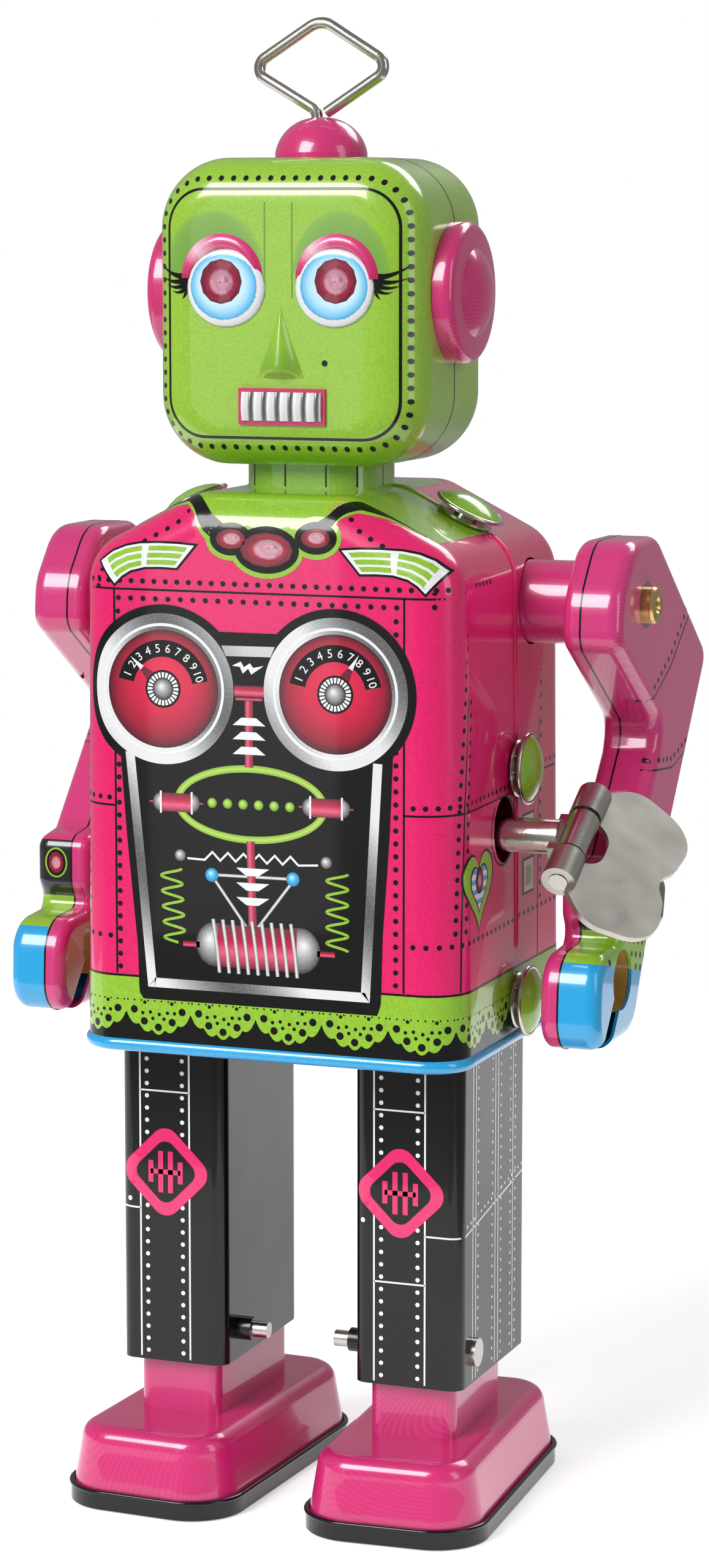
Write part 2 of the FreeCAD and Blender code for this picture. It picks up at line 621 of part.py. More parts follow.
key_frame(neck_bar, -3.6, -4.3, -1.2)
eye = cross_rod("2.5", "8.6", -4.3)
pin_bore = cross_rod("1.5", "10", -5.0)
node(cut(fuse(stem_tube, neck_bar, eye), pin_bore), "key_stem")
node(cross_rod("1.5", "22", -11.0), "key_cross_pin")

# The wing folds about the cross pin on two rolled knuckles and has two rounded lobes.
span = size("wing_span") / 2
reach = size("wing_reach")
wing_corners = [(-span + 4.0, 0.2, 1.0), (-4.9, 0.2, 0), (-4.9, 4.0, 3.8), (4.9, 4.0, 3.8), (4.9, 0.2, 0),
                (span - 4.0, 0.2, 1.0), (span + 1.0, 5.0, 5.0), (span - 2.2, reach + 1.2, 6.5),
                (3.6, reach - 0.2, 5.0), (0.0, reach - 2.6, 4.0), (-3.6, reach - 0.2, 5.0),
                (-span + 2.2, reach + 1.2, 6.5), (-span - 1.0, 5.0, 5.0)]
wing_edges = corner_edges([(v + 1.0, u, r) for u, v, r in wing_corners][::-1])
wing_plate = pad("Wing", "XY_Plane", wing_edges, "-wing_gauge/2", "wing_gauge")
key_frame(wing_plate, 0, 0, 0, size("wing_fold"))
knuckles = [cross_rod("2.7", "6.0", start) for start in (-10.8, 4.8)]
wing_bore = cross_rod("1.5 + fit_gap", "30", -15)
node(cut(fuse(wing_plate, *knuckles), wing_bore), "key_wing")

# ---------------------------------------------------------------- gear train
def step_phase(wheel_teeth, pinion_teeth, wheel_phase, bearing):
    """Turn of a pinion that puts a tooth gap where the wheel's tooth points along the bearing."""
    wheel_part = ((bearing - wheel_phase) * wheel_teeth / 360) % 1
    return bearing + 180 - (0.5 - wheel_part) * 360 / pinion_teeth


def bearing(first, second):
    """Direction in the YZ plane from one arbor to another, in degrees."""
    return math.degrees(math.atan2(size(second + "_z") - size(first + "_z"),
                                   size(second + "_y") - size(first + "_y")))


great = toothed("Great", "great_teeth", "1.2", "-7.4", "key_y", "key_z")
node(cut(great, rod("2.2 + fit_gap", "3", "-8.4", "key_y", "key_z")), "great_wheel")
click = fuse(slab("-5.9", "key_y + 7.0", "key_z - 1.0", "0.9", "1.8", "4.4"),
             rod("0.8", "1.4", "-6.2", "key_y + 7.9", "key_z + 2.6"))
node(click, "click")

phase_crank = step_phase(size("great_teeth"), size("crank_pinion_teeth"), 0, bearing("key", "crank"))
crank_pinion = toothed("CrankPinion", "crank_pinion_teeth", "2.0", "-7.8", "crank_y", "crank_z",
                       phase_crank)
crank_arbor = rod("1.2", "2*plate_inner + 3.6", "-plate_inner - 1.8", "crank_y", "crank_z")
node(fuse(crank_pinion, crank_arbor), "crankshaft")
crank_wheel = toothed("CrankWheel", "crank_wheel_teeth", "0.9", "4.2", "crank_y", "crank_z", 0)
node(cut(crank_wheel, rod("1.2", "3", "3.2", "crank_y", "crank_z")), "crank_wheel")
discs = []
for side, throw in ((1, "crank_throw"), (-1, "-crank_throw")):
    x = "plate_inner + plate_gauge + 0.8" if side > 0 else "-plate_inner - plate_gauge - 1.7"
    pin_x = "plate_inner + plate_gauge + 1.7" if side > 0 else "-plate_inner - plate_gauge - 4.2"
    disc = cut(rod("4.0", "0.9", x, "crank_y", "crank_z"),
               rod("1.2", "3", f"{x} - 1", "crank_y", "crank_z"))
    discs.append(fuse(disc, rod("0.9", "2.5", pin_x, f"crank_y + {throw}", "crank_z")))
node(group(*discs), "crank_discs")

phase_third = step_phase(size("crank_wheel_teeth"), size("third_pinion_teeth"), 0,
                         bearing("crank", "third"))
third = fuse(toothed("ThirdPinion", "third_pinion_teeth", "1.6", "3.9", "third_y", "third_z", phase_third),
             toothed("ThirdWheel", "third_wheel_teeth", "0.8", "5.9", "third_y", "third_z", 0),
             rod("0.9", "2*plate_inner + 1.6", "-plate_inner - 0.8", "third_y", "third_z"))
node(third, "third_wheel")
phase_escape = step_phase(size("third_wheel_teeth"), size("escape_pinion_teeth"), 0,
                          bearing("third", "escape"))
escape = fuse(toothed("EscapePinion", "escape_pinion_teeth", "1.6", "5.6", "escape_y", "escape_z",
                      phase_escape, 0.8),
              toothed("EscapeWheel", "escape_teeth", "0.8", "0.5", "escape_y", "escape_z", 0, 0.6, 0.9,
                      "escape_module"),
              rod("0.8", "2*plate_inner + 1.6", "-plate_inner - 0.8", "escape_y", "escape_z"))
node(escape, "escape_wheel")
pallet = fuse(slab("0.4", "pallet_y - 5.0", "pallet_z - 0.6", "1.0", "10.0", "1.8"),
              slab("0.4", "pallet_y - 5.0", "pallet_z - 2.2", "1.0", "1.2", "2.0"),
              slab("0.4", "pallet_y + 3.8", "pallet_z - 2.2", "1.0", "1.2", "2.0"),
              rod("0.8", "2*plate_inner + 1.6", "-plate_inner - 0.8", "pallet_y", "pallet_z"))
node(pallet, "escape_pallet")

# ---------------------------------------------------------------- legs
# Each leg is a folded box tube that hangs on the hip axle and is driven by a slotted lever.
leg_outline = rounded_rectangle(size("leg_x"), size("leg_y"), size("leg_width"), size("leg_depth"), 2.2)
leg_blank = pad("LegOut", "XY_Plane", corner_edges(leg_outline), "leg_low", "leg_high - leg_low")
leg_bore = pad("LegIn", "XY_Plane", corner_edges(inset(leg_outline, size("gauge"))), "leg_low - 1",
               "leg_high - leg_low + 2")
hip_bore = rod("hip_radius + fit_gap", "leg_width + 4", "leg_x - leg_width/2 - 2", "hip_y", "hip_z")
ankle_bore = rod("ankle_radius", "leg_width + 4", "leg_x - leg_width/2 - 2", "ankle_y", "ankle_z")
leg = cut(leg_blank, leg_bore, hip_bore, ankle_bore)
inner_wall = "leg_x - leg_width/2 + gauge"
lever_corners = [(-6.5, 80.0, 2.0), (8.5, 80.0, 2.0), (8.5, 104.0, 5.0), (-6.5, 104.0, 5.0)]
lever_blank = pad("Lever", "YZ_Plane", corner_edges(lever_corners), inner_wall, "1.0")
lever = cut(lever_blank, rod("hip_radius + fit_gap", "4", f"{inner_wall} - 1", "hip_y", "hip_z"),
            rod("5.4", "4", f"{inner_wall} - 1", "crank_y", "crank_z"))
ankle_pin = fuse(rod("ankle_radius", "leg_width + 5.6", "leg_x - leg_width/2 - 5.2", "ankle_y", "ankle_z"),
                 rod("2.3", "0.9", "leg_x + leg_width/2 + 0.02", "ankle_y", "ankle_z"))
ankle_sleeve = cut(rod("1.9", "2.6", "leg_x - leg_width/2 - 2.62", "ankle_y", "ankle_z"),
                   rod("ankle_radius", "5", "leg_x - leg_width/2 - 4", "ankle_y", "ankle_z"))

# ---------------------------------------------------------------- feet
def foot_turn(thing, x="foot_x", y="foot_y", z="0"):
    """Turns a foot piece by the toe-out about the foot's own centre."""
    return place(thing, x, y, z, FreeCAD.Rotation(Vector(0, 0, 1), size("toe_out")))


def tapered(name, width, length, low, high, taper):
    """A loft between two rounded rectangles, centred on the foot."""
    body = doc.addObject("PartDesign::Body", name)
    plane = [f for f in body.Origin.OriginFeatures if f.Role == "XY_Plane"][0]
    sketches = []
    for i, (height, shrink, radius) in enumerate(((low, 0, 8.0), (high, taper, 6.5))):
        sketch = body.newObject("Sketcher::SketchObject", f"{name}Sketch{i}")
        sketch.AttachmentSupport = [(plane, "")]
        sketch.MapMode = "FlatFace"
        bind(sketch, "AttachmentOffset.Base.z", height)
        for edge in corner_edges(rounded_rectangle(0, 0, width - 2 * shrink, length - 2 * shrink, radius)):
            sketch.addGeometry(edge)
        sketches.append(sketch)
    loft = body.newObject("PartDesign::AdditiveLoft", name + "Loft")
    loft.Profile = sketches[0]
    loft.Sections = [sketches[1]]
    doc.recompute()
    return body


width = size("foot_width")
length = size("foot_length")
gauge = size("gauge")
pan_corners = rounded_rectangle(0, 0, width, length, 8.6)
pan = cut(pad("PanOut", "XY_Plane", corner_edges(pan_corners), "0", "sole_height"),
          pad("PanIn", "XY_Plane", corner_edges(inset(pan_corners, gauge)), "gauge", "sole_height"),
          slab("-roller_width/2 - 0.4", "roller_y - foot_y - roller_radius - 0.4", "-1",
               "roller_width + 0.8", "2*roller_radius + 0.8", "3"))
shoe_inset = 2 * gauge + 0.04
shoe = cut(tapered("ShoeOut", width - shoe_inset, length - shoe_inset, "gauge + 0.02", "shoe_height",
                   size("shoe_taper")),
           tapered("ShoeIn", width - shoe_inset - 2 * gauge, length - shoe_inset - 2 * gauge, "0.0",
                   "shoe_height - gauge", size("shoe_taper")))
post_outline = rounded_rectangle(0, size("post_y"), size("post_width"), size("post_depth"), 2.0)
post = cut(pad("PostOut", "XY_Plane", corner_edges(post_outline), "shoe_height + 0.01",
               "post_high - shoe_height"),
           pad("PostIn", "XY_Plane", corner_edges(inset(post_outline, gauge)), "shoe_height - 1",
               "post_high - shoe_height + 1 - gauge"))
foot_turn(pan)
foot_turn(shoe)
foot_turn(post)
post_bored = cut(post, rod("ankle_radius + fit_gap", "leg_width + 4", "leg_x - leg_width/2 - 2",
                           "ankle_y", "ankle_z"))
roller_turn = FreeCAD.Rotation(Vector(0, 0, 1), size("toe_out")).multiply(ALONG_X)


def across_foot(radius, length, start, height="roller_radius"):
    """A rod along the foot's own cross axis at the roller."""
    turn = FreeCAD.Rotation(Vector(0, 0, 1), size("toe_out"))
    offset = turn.multVec(Vector(start, size("roller_y") - size("foot_y"), 0))
    return rod(radius, length, f"foot_x + {offset.x:.4f}", f"foot_y + {offset.y:.4f}", height, roller_turn)


half_roller = size("roller_width") / 2
roller = cut(across_foot("roller_radius", "roller_width", -half_roller),
             across_foot("1.0 + fit_gap", "roller_width + 2", -half_roller - 1))
roller_axle = across_foot("1.0", "27.2", -13.6)
for thing, label in ((leg, "leg_tube"), (lever, "leg_lever"), (ankle_pin, "ankle_pin"),
                     (ankle_sleeve, "ankle_sleeve"), (post_bored, "ankle_post"), (shoe, "shoe_shell"),
                     (pan, "sole_pan"), (roller, "foot_roller"), (roller_axle, "roller_axle")):
    node(thing, label + "_left")
    node(mirror(thing), label + "_right")

# ---------------------------------------------------------------- checks and files
doc.recompute()
faults = [f"{thing.Name}: {thing.State}" for thing in doc.Objects
          if "Invalid" in thing.State or "Error" in thing.State]
for thing in NODES:
    if thing.Shape.isNull() or not thing.Shape.isValid() or not thing.Shape.Solids:
        faults.append(f"{thing.Label}: bad shape")
if faults:
    raise SystemExit("\n".join(faults))
os.makedirs("parts", exist_ok=True)
for thing in NODES:
    thing.Shape.exportStep(f"parts/{thing.Label}.step")
    box = thing.Shape.BoundBox
    print(f"{thing.Label}: {len(thing.Shape.Solids)} solids, {thing.Shape.Volume:.0f} mm3, "
          f"x {box.XMin:.1f} {box.XMax:.1f} y {box.YMin:.1f} {box.YMax:.1f} z {box.ZMin:.1f} {box.ZMax:.1f}")
print(len(NODES), "nodes")
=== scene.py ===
"""Clockwork tin robot, printed and lacquered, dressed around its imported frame.

The robot stands on z = 0, faces -Y and has its left side at +X. Drawing sizes
are millimetres, and every mesh is written in metres.
"""
import math

import bmesh
import bpy
import numpy as np
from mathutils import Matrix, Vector


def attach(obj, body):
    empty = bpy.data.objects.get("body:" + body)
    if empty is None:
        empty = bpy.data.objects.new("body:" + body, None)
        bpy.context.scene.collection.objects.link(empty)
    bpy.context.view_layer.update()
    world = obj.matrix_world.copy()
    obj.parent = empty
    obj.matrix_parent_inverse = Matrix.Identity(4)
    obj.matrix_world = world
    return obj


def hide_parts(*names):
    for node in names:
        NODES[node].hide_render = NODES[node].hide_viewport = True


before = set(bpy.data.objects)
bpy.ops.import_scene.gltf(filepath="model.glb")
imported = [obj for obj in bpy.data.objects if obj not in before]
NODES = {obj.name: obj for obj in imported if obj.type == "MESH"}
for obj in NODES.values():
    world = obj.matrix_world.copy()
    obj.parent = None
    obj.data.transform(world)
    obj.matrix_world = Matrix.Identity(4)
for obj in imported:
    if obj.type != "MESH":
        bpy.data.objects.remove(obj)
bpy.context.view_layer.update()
MM = 0.001

# ------------------------------------------------------------------ table, lamps and camera
# The robot stands on a small sheet of faintly glowing paper in a white world. A large soft lamp
# stands at its upper right hand, a strip lamp marks the chest, and two more light side and back.


def lamp(name, spot, aim, wide, tall, watts):
    """A soft rectangular lamp at a spot, turned to face its aim."""
    light = bpy.data.lights.new(name, "AREA")
    light.shape = "RECTANGLE"
    light.size = wide
    light.size_y = tall
    light.energy = watts
    holder = bpy.data.objects.new(name, light)
    bpy.context.scene.collection.objects.link(holder)
    holder.location = spot
    holder.rotation_euler = (Vector(aim) - Vector(spot)).to_track_quat("-Z", "Y").to_euler()
    return holder


CHEST = (0.0, -0.025, 0.12)
lamp("key_lamp", (-0.45, -1.05, 0.95), CHEST, 0.7, 0.7, 17.5)
lamp("strip_lamp", (-0.163, -0.414, 0.19), CHEST, 0.05, 0.36, 0.055)
lamp("side_lamp", (0.95, -0.25, 0.45), (0.03, 0.0, 0.12), 0.3, 0.8, 1.7)
lamp("back_lamp", (0.25, 0.9, 0.9), CHEST, 0.8, 0.4, 5.0)

world = bpy.data.worlds.new("studio")
world.use_nodes = True
air, air_links = world.node_tree.nodes, world.node_tree.links
sight = air.new("ShaderNodeLightPath")
strength = air.new("ShaderNodeMapRange")
strength.inputs["To Min"].default_value = 0.27
strength.inputs["To Max"].default_value = 1.0
air_links.new(sight.outputs["Is Camera Ray"], strength.inputs["Value"])
air_links.new(strength.outputs["Result"], air["Background"].inputs["Strength"])
air["Background"].inputs["Color"].default_value = (1.0, 1.0, 1.0, 1.0)
bpy.context.scene.world = world
bpy.context.scene.view_settings.view_transform = "Standard"

floor_mesh = bpy.data.meshes.new("floor")
floor_mesh.from_pydata([(-0.5, -0.22, 0), (0.2, -0.22, 0), (0.2, 0.42, 0), (-0.5, 0.42, 0)],
                       [], [(0, 1, 2, 3)])
floor = bpy.data.objects.new("floor", floor_mesh)
floor.location.z = -0.0002
bpy.context.scene.collection.objects.link(floor)
paper = bpy.data.materials.new("paper")
paper.use_nodes = True
for setting, amount in (("Base Color", (0.90, 0.90, 0.90, 1)), ("Emission Color", (1, 1, 1, 1)),
                        ("Emission Strength", 0.42), ("Roughness", 0.9)):
    paper.node_tree.nodes["Principled BSDF"].inputs[setting].default_value = amount
floor_mesh.materials.append(paper)

camera_data = bpy.data.cameras.new("camera")
camera_data.lens = 91.9
camera_data.sensor_width = 36.0
camera = bpy.data.objects.new("camera", camera_data)
bpy.context.scene.collection.objects.link(camera)
camera.location = (0.22916, -0.58959, 0.20568)
TARGET = Vector((0.00553, 0.0, 0.11484))
camera.rotation_euler = (TARGET - camera.location).to_track_quat("-Z", "Y").to_euler()
bpy.context.scene.camera = camera

# ------------------------------------------------------------------ body case
# Two drawn half shells of tin plate, printed flat in hot pink and lacquered before drawing.
# The front shell's rear edge is rolled over the back shell, and six buttons hold the seam.


def finish(name, gloss, coat, metal=0.0):
    """A new material with its shader's constants set; returns it with its nodes and links."""
    material = bpy.data.materials.new(name)
    material.use_nodes = True
    nodes, links = material.node_tree.nodes, material.node_tree.links
    shader = nodes["Principled BSDF"]
    shader.inputs["Roughness"].default_value = gloss
    shader.inputs["Metallic"].default_value = metal
    shader.inputs["Coat Weight"].default_value = coat
    shader.inputs["Coat Roughness"].default_value = 0.035
    return material, nodes, links, shader


def noise(nodes, links, scale, detail=2.0):
    """Noise in the piece's own space, features about one over the scale in metres."""
    where = nodes.new("ShaderNodeTexCoord")
    texture = nodes.new("ShaderNodeTexNoise")
    texture.inputs["Scale"].default_value = scale
    texture.inputs["Detail"].default_value = detail
    links.new(where.outputs["Object"], texture.inputs["Vector"])
    return texture


def colours(nodes, links, value, stops, blend="LINEAR"):
    """A colour ramp of (place, colour) stops driven by a value."""
    ramp = nodes.new("ShaderNodeValToRGB")
    ramp.color_ramp.interpolation = blend
    band = ramp.color_ramp.elements
    while len(band) < len(stops):
        band.new(0.5)
    for element, (place, colour) in zip(band, stops):
        element.position = place
        element.color = (*colour, 1.0)
    links.new(value, ramp.inputs["Fac"])
    return ramp


def shade(colour, factor):
    """The colour made lighter or darker by a factor, kept below full white."""
    return tuple(min(0.95, c * factor) for c in colour)


def wavy(nodes, links, shader, scale, height, fine=None, fine_height=0.0):
    """Bump from broad dents in the plate and, where asked, a fine texture over them."""
    broad = noise(nodes, links, scale, 1.0)
    bump = nodes.new("ShaderNodeBump")
    bump.inputs["Distance"].default_value = height
    links.new(broad.outputs["Fac"], bump.inputs["Height"])
    if fine is not None:
        over = nodes.new("ShaderNodeBump")
        over.inputs["Distance"].default_value = fine_height
        grain = noise(nodes, links, fine, 3.0)
        links.new(grain.outputs["Fac"], over.inputs["Height"])
        links.new(bump.outputs["Normal"], over.inputs["Normal"])
        bump = over
    links.new(bump.outputs["Normal"], shader.inputs["Normal"])


def printed(name, colour, spread=0.10, gloss=0.26, coat=0.85):
    """Lacquered print on tin: the ink breaks into fine grain, and the plate is slightly wavy."""
    material, nodes, links, shader = finish(name, gloss, coat)
    speckle = noise(nodes, links, 2400.0)
    ramp = colours(nodes, links, speckle.outputs["Fac"],
                   [(0.3, shade(colour, 1 - spread)), (0.7, shade(colour, 1 + spread))])
    links.new(ramp.outputs["Color"], shader.inputs["Base Color"])
    wavy(nodes, links, shader, 55.0, 0.00025)
    return material


def wave_scale(pitch):
    """Scale of a wave texture whose bands repeat once every pitch in mm."""
    return 2 * math.pi / (20 * pitch * MM)


def moire(name, colour, spread=0.10, pitch=0.45):
    """Lacquered print whose engraved screen shows as fine curved lines, one pitch in mm apart."""
    material, nodes, links, shader = finish(name, 0.27, 0.85)
    where = nodes.new("ShaderNodeTexCoord")
    lean = nodes.new("ShaderNodeMapping")
    lean.inputs["Rotation"].default_value = (0.5, 0.4, 0.5)
    screen = nodes.new("ShaderNodeTexWave")
    screen.wave_type = "RINGS"
    screen.inputs["Scale"].default_value = wave_scale(pitch)
    screen.inputs["Distortion"].default_value = 6.0
    screen.inputs["Detail Scale"].default_value = 0.02
    links.new(where.outputs["Object"], lean.inputs["Vector"])
    links.new(lean.outputs["Vector"], screen.inputs["Vector"])
    ramp = colours(nodes, links, screen.outputs["Fac"],
                   [(0.0, shade(colour, 1 - spread)), (1.0, shade(colour, 1 + spread))])
    links.new(ramp.outputs["Color"], shader.inputs["Base Color"])
    wavy(nodes, links, shader, 60.0, 0.0002)
    return material


def dress(material, *names):
    """Gives CAD nodes their finish by filling their own material slots."""
    for name in names:
        mesh = NODES[name].data
        if not mesh.materials:
            mesh.materials.append(material)
        for i in range(len(mesh.materials)):
            mesh.materials[i] = material


HOT_PINK = (0.76, 0.004, 0.135)
LIME = (0.27, 0.52, 0.025)
BLACK = (0.0035, 0.0035, 0.004)
WHITE = (0.82, 0.83, 0.84)
BLUE = (0.012, 0.36, 0.72)

pink_print = printed("pink_print", HOT_PINK)
lime_print = printed("lime_print", LIME)
black_print = printed("black_print", BLACK, spread=0.25, gloss=0.22, coat=0.35)
black_print.node_tree.nodes["Principled BSDF"].inputs["Specular IOR Level"].default_value = 0.3
white_print = printed("white_print", WHITE, spread=0.04)
blue_print = printed("blue_print", BLUE)
gold_lacquer = printed("gold_lacquer", (0.45, 0.27, 0.06), gloss=0.3)
dress(pink_print, "body_front_shell", "body_back_shell")


def outline(corners, step=0.1):
    """A closed rounded outline as even points, outward normals and arc lengths.

    Each corner becomes an arc that leaves its two sides radius times tan(half the turn)
    before the corner; the corners run anticlockwise.
    """
    spots = np.array([c[:2] for c in corners], float)
    radii = np.array([c[2] for c in corners], float)[:, None]
    into = spots - np.roll(spots, 1, 0)
    into /= np.linalg.norm(into, axis=1, keepdims=True)
    away = np.roll(into, -1, 0)
    turn = np.arctan2(into[:, 0] * away[:, 1] - into[:, 1] * away[:, 0], (into * away).sum(1))[:, None]
    left = np.stack((-into[:, 1], into[:, 0]), -1)
    side = np.where(turn < 0, -1.0, 1.0)
    middle = spots - into * radii * np.abs(np.tan(turn / 2)) + left * radii * side
    bearing = np.arctan2(-left[:, 1], -left[:, 0])[:, None] + turn * np.linspace(0, 1, 33)
    out = np.stack((np.cos(bearing), np.sin(bearing)), -1)
    points = middle[:, None] + out * (radii * side)[:, :, None]
    points = np.vstack((points.reshape(-1, 2), points[0, :1]))
    out = np.vstack((out.reshape(-1, 2), out[0, :1]))
    run = np.concatenate(([0.0], np.cumsum(np.linalg.norm(np.diff(points, axis=0), axis=1))))
    even = np.arange(0.0, run[-1], step)
    points = np.stack([np.interp(even, run, points[:, k]) for k in (0, 1)], -1)
    out = np.stack([np.interp(even, run, out[:, k]) for k in (0, 1)], -1)
    return points, out / np.linalg.norm(out, axis=1, keepdims=True), even


def dished(rim, bend, place):
    """Skin of a drawn cup's face: at depth d inside the rim it drops r - sqrt(r^2 - (r - d)^2).

    rim is an outline, bend the radius r, and place turns (u, v, drop) into x, y, z.
    """
    points, out, _ = rim

    def skin(u, v):
        flat = np.stack((u.ravel(), v.ravel()), -1)
        near = np.empty(len(flat), int)
        for i in range(0, len(flat), 2000):
            gap = flat[i:i + 2000, None] - points[None]
            near[i:i + 2000] = (gap ** 2).sum(-1).argmin(1)
        depth = ((points[near] - flat) * out[near]).sum(-1)
        lean = np.clip((bend - depth) / bend, 0.0, 0.999)
        drop = bend * (1 - np.sqrt(1 - lean ** 2))
        side = out[near] * lean[:, None]
        spot = place(flat[:, 0], flat[:, 1], drop)
        face = place(side[:, 0], side[:, 1], -np.sqrt(1 - lean ** 2)) - place(0 * drop, 0 * drop, 0 * drop)
        return spot.reshape(*u.shape, 3), face.reshape(*u.shape, 3)

    return skin


def wrapped(half, front, back, bend, centre=0.0):
    """Skin of an upright box with round corners: u runs round it from the middle of the front.

    Along the front, x = t1 + r sin a - r (1 - cos b) - t3 and y = front + r (1 - cos a) + t2 +
    r sin b, where a and b are the turns of the two corners; the other side is its mirror image.
    """
    def skin(u, z):
        reach = half(z) if callable(half) else half + 0 * z
        way, flat, side = np.abs(u), reach - bend, back - front - 2 * bend
        corner = bend * math.pi / 2
        a = np.clip((way - flat) / bend, 0, math.pi / 2)
        along = np.clip(way - flat - corner, 0, side)
        b = np.clip((way - flat - corner - side) / bend, 0, math.pi / 2)
        rear = np.clip(way - flat - 2 * corner - side, 0, None)
        x = np.clip(way, 0, flat) + bend * np.sin(a) - bend * (1 - np.cos(b)) - rear
        y = front + bend * (1 - np.cos(a)) + along + bend * np.sin(b)
        hand = np.where(u < 0, -1.0, 1.0)
        spot = np.stack((centre + hand * x, y, z), -1)
        return spot, np.stack((hand * np.sin(a + b), -np.cos(a + b), 0 * z), -1)

    return skin


def brim(rim, front, bend):
    """Skin over a cup's edge: s runs along the rim from its top middle, q across it.

    q is 0 where the flat face ends, grows over the bend and then back along y, and is
    negative on the face.
    """
    points, out, run = rim
    top = run[np.where(points[:, 1] > points[:, 1].mean(), np.abs(points[:, 0]), 99.0).argmin()]

    def skin(s, q):
        way = np.mod(top - s, run[-1])
        p, n = [np.stack([np.interp(way, run, part[:, k]) for k in (0, 1)], -1) for part in (points, out)]
        a = np.clip(q / bend, 0, math.pi / 2)
        depth = bend * (1 - np.sin(a)) + np.clip(-q, 0, None)
        y = front + bend * (1 - np.cos(a)) + np.clip(q - bend * math.pi / 2, 0, None)
        spot = np.stack((p[..., 0] - n[..., 0] * depth, y, p[..., 1] - n[..., 1] * depth), -1)
        return spot, np.stack((n[..., 0] * np.sin(a), -np.cos(a), n[..., 1] * np.sin(a)), -1)

    return skin


def fresh(name, verts, quads, uvs, material, body, slot, crease=0.7):
    """A piece from arrays in mm: doubles merged, faces turned outwards, sharp edges kept."""
    mesh = bpy.data.meshes.new(name)
    mesh.from_pydata((verts * MM).tolist(), [], quads.tolist())
    layer = mesh.uv_layers.new(name="print")
    layer.data.foreach_set("uv", uvs[quads].astype(np.float32).ravel())
    work = bmesh.new()
    work.from_mesh(mesh)
    bmesh.ops.remove_doubles(work, verts=work.verts, dist=2e-6)
    bmesh.ops.dissolve_degenerate(work, edges=work.edges, dist=1e-7)
    bmesh.ops.recalc_face_normals(work, faces=work.faces)
    work.to_mesh(mesh)
    work.free()
    mesh.shade_smooth()
    mesh.set_sharp_from_angle(angle=crease)
    mesh.materials.append(material)
    piece = bpy.data.objects.new(name, mesh)
    bpy.context.scene.collection.objects.link(piece)
    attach(piece, body)
    return piece


COAT, SUNK = 0.03, 0.04       # thickness of one print layer, and how far a slab sinks into the tin


def slabs(patches, skin, layer, relief=None):
    """Vertices, quads and uvs of closed slabs: each patch is lifted off the skin and walled round.

    The top stands layer coats (plus any relief) along the normal, the underside is sunk below the
    tin, and borders that meet themselves or shrink to a point get no wall. u runs along columns.
    """
    verts, quads, uvs, start = [], [], [], 0
    for grid in patches:
        rows, cols = grid.shape[:2]
        spot, face = skin(grid[..., 0], grid[..., 1])
        lift = COAT * layer if relief is None else COAT * layer + relief(grid)[..., None]
        verts += [(spot + face * lift).reshape(-1, 3), (spot - face * SUNK).reshape(-1, 3)]
        index = np.arange(rows * cols).reshape(rows, cols)
        count = rows * cols
        faces = np.stack((index[:-1, :-1], index[:-1, 1:], index[1:, 1:], index[1:, :-1]), -1).reshape(-1, 4)
        parts = [faces, faces[:, ::-1] + count]
        for edge, other in ((index[0], index[-1]), (index[-1], index[0]),
                            (index[:, 0], index[:, -1]), (index[:, -1], index[:, 0])):
            line, facing = spot.reshape(-1, 3)[edge], spot.reshape(-1, 3)[other]
            if np.ptp(line, axis=0).max() > 1e-4 and not np.allclose(line, facing, atol=1e-4):
                parts.append(np.stack((edge[:-1], edge[1:], edge[1:] + count, edge[:-1] + count), -1))
        quads.append(np.vstack(parts) + start)
        across, up = np.meshgrid(np.linspace(0, 1, cols), np.linspace(0, 1, rows))
        uvs += [np.stack((across, up), -1).reshape(-1, 2)] * 2
        start += 2 * count
    return np.vstack(verts), np.vstack(quads), np.vstack(uvs)


def ink(name, patches, skin, layer, material, body="case", slot="pink_tin", relief=None):
    """One printed colour as a piece."""
    return fresh(name, *slabs(patches, skin, layer, relief), material, body, slot)


def even(low, high, step=0.9):
    """Even stops from low to high, no further apart than step."""
    return np.linspace(low, high, max(2, int(math.ceil(abs(high - low) / step)) + 1))


def block(low_u, high_u, low_v, high_v):
    """An upright rectangle."""
    return np.stack(np.meshgrid(even(low_u, high_u), even(low_v, high_v)), -1)


def refine(points, step=0.9):
    """A line through points with more stops, so that it follows a bent skin."""
    points = np.asarray(points, float)
    run = np.concatenate(([0.0], np.cumsum(np.linalg.norm(np.diff(points, axis=0), axis=1))))
    stops = np.unique(np.round(np.concatenate((run, np.arange(0.0, run[-1], step))), 5))
    return np.stack([np.interp(stops, run, points[:, k]) for k in (0, 1)], -1)


def respace(points, count):
    """The same number of even stops along any line."""
    points = np.asarray(points, float)
    run = np.concatenate(([0.0], np.cumsum(np.linalg.norm(np.diff(points, axis=0), axis=1))))
    return np.stack([np.interp(np.linspace(0, run[-1], count), run, points[:, k]) for k in (0, 1)], -1)


def ribbon(points, width, rows=2, taper=None):
    """A line with width: the line moved both ways along its normal, mitred at its corners."""
    line = refine(points)
    ahead = np.diff(line, axis=0)
    ahead /= np.linalg.norm(ahead, axis=1, keepdims=True)
    closed = np.allclose(line[0], line[-1])
    into = np.vstack((ahead[-1:] if closed else ahead[:1], ahead))
    away = np.vstack((ahead, ahead[:1] if closed else ahead[-1:]))
    middle = into + away
    middle /= np.linalg.norm(middle, axis=1, keepdims=True)
    mitre = np.stack((-middle[:, 1], middle[:, 0]), -1) / np.clip((middle * away).sum(1), 0.4, 1)[:, None]
    wide = width if taper is None else width * np.linspace(1, taper, len(line))[:, None]
    return line + np.linspace(-0.5, 0.5, rows)[:, None, None] * wide * mitre


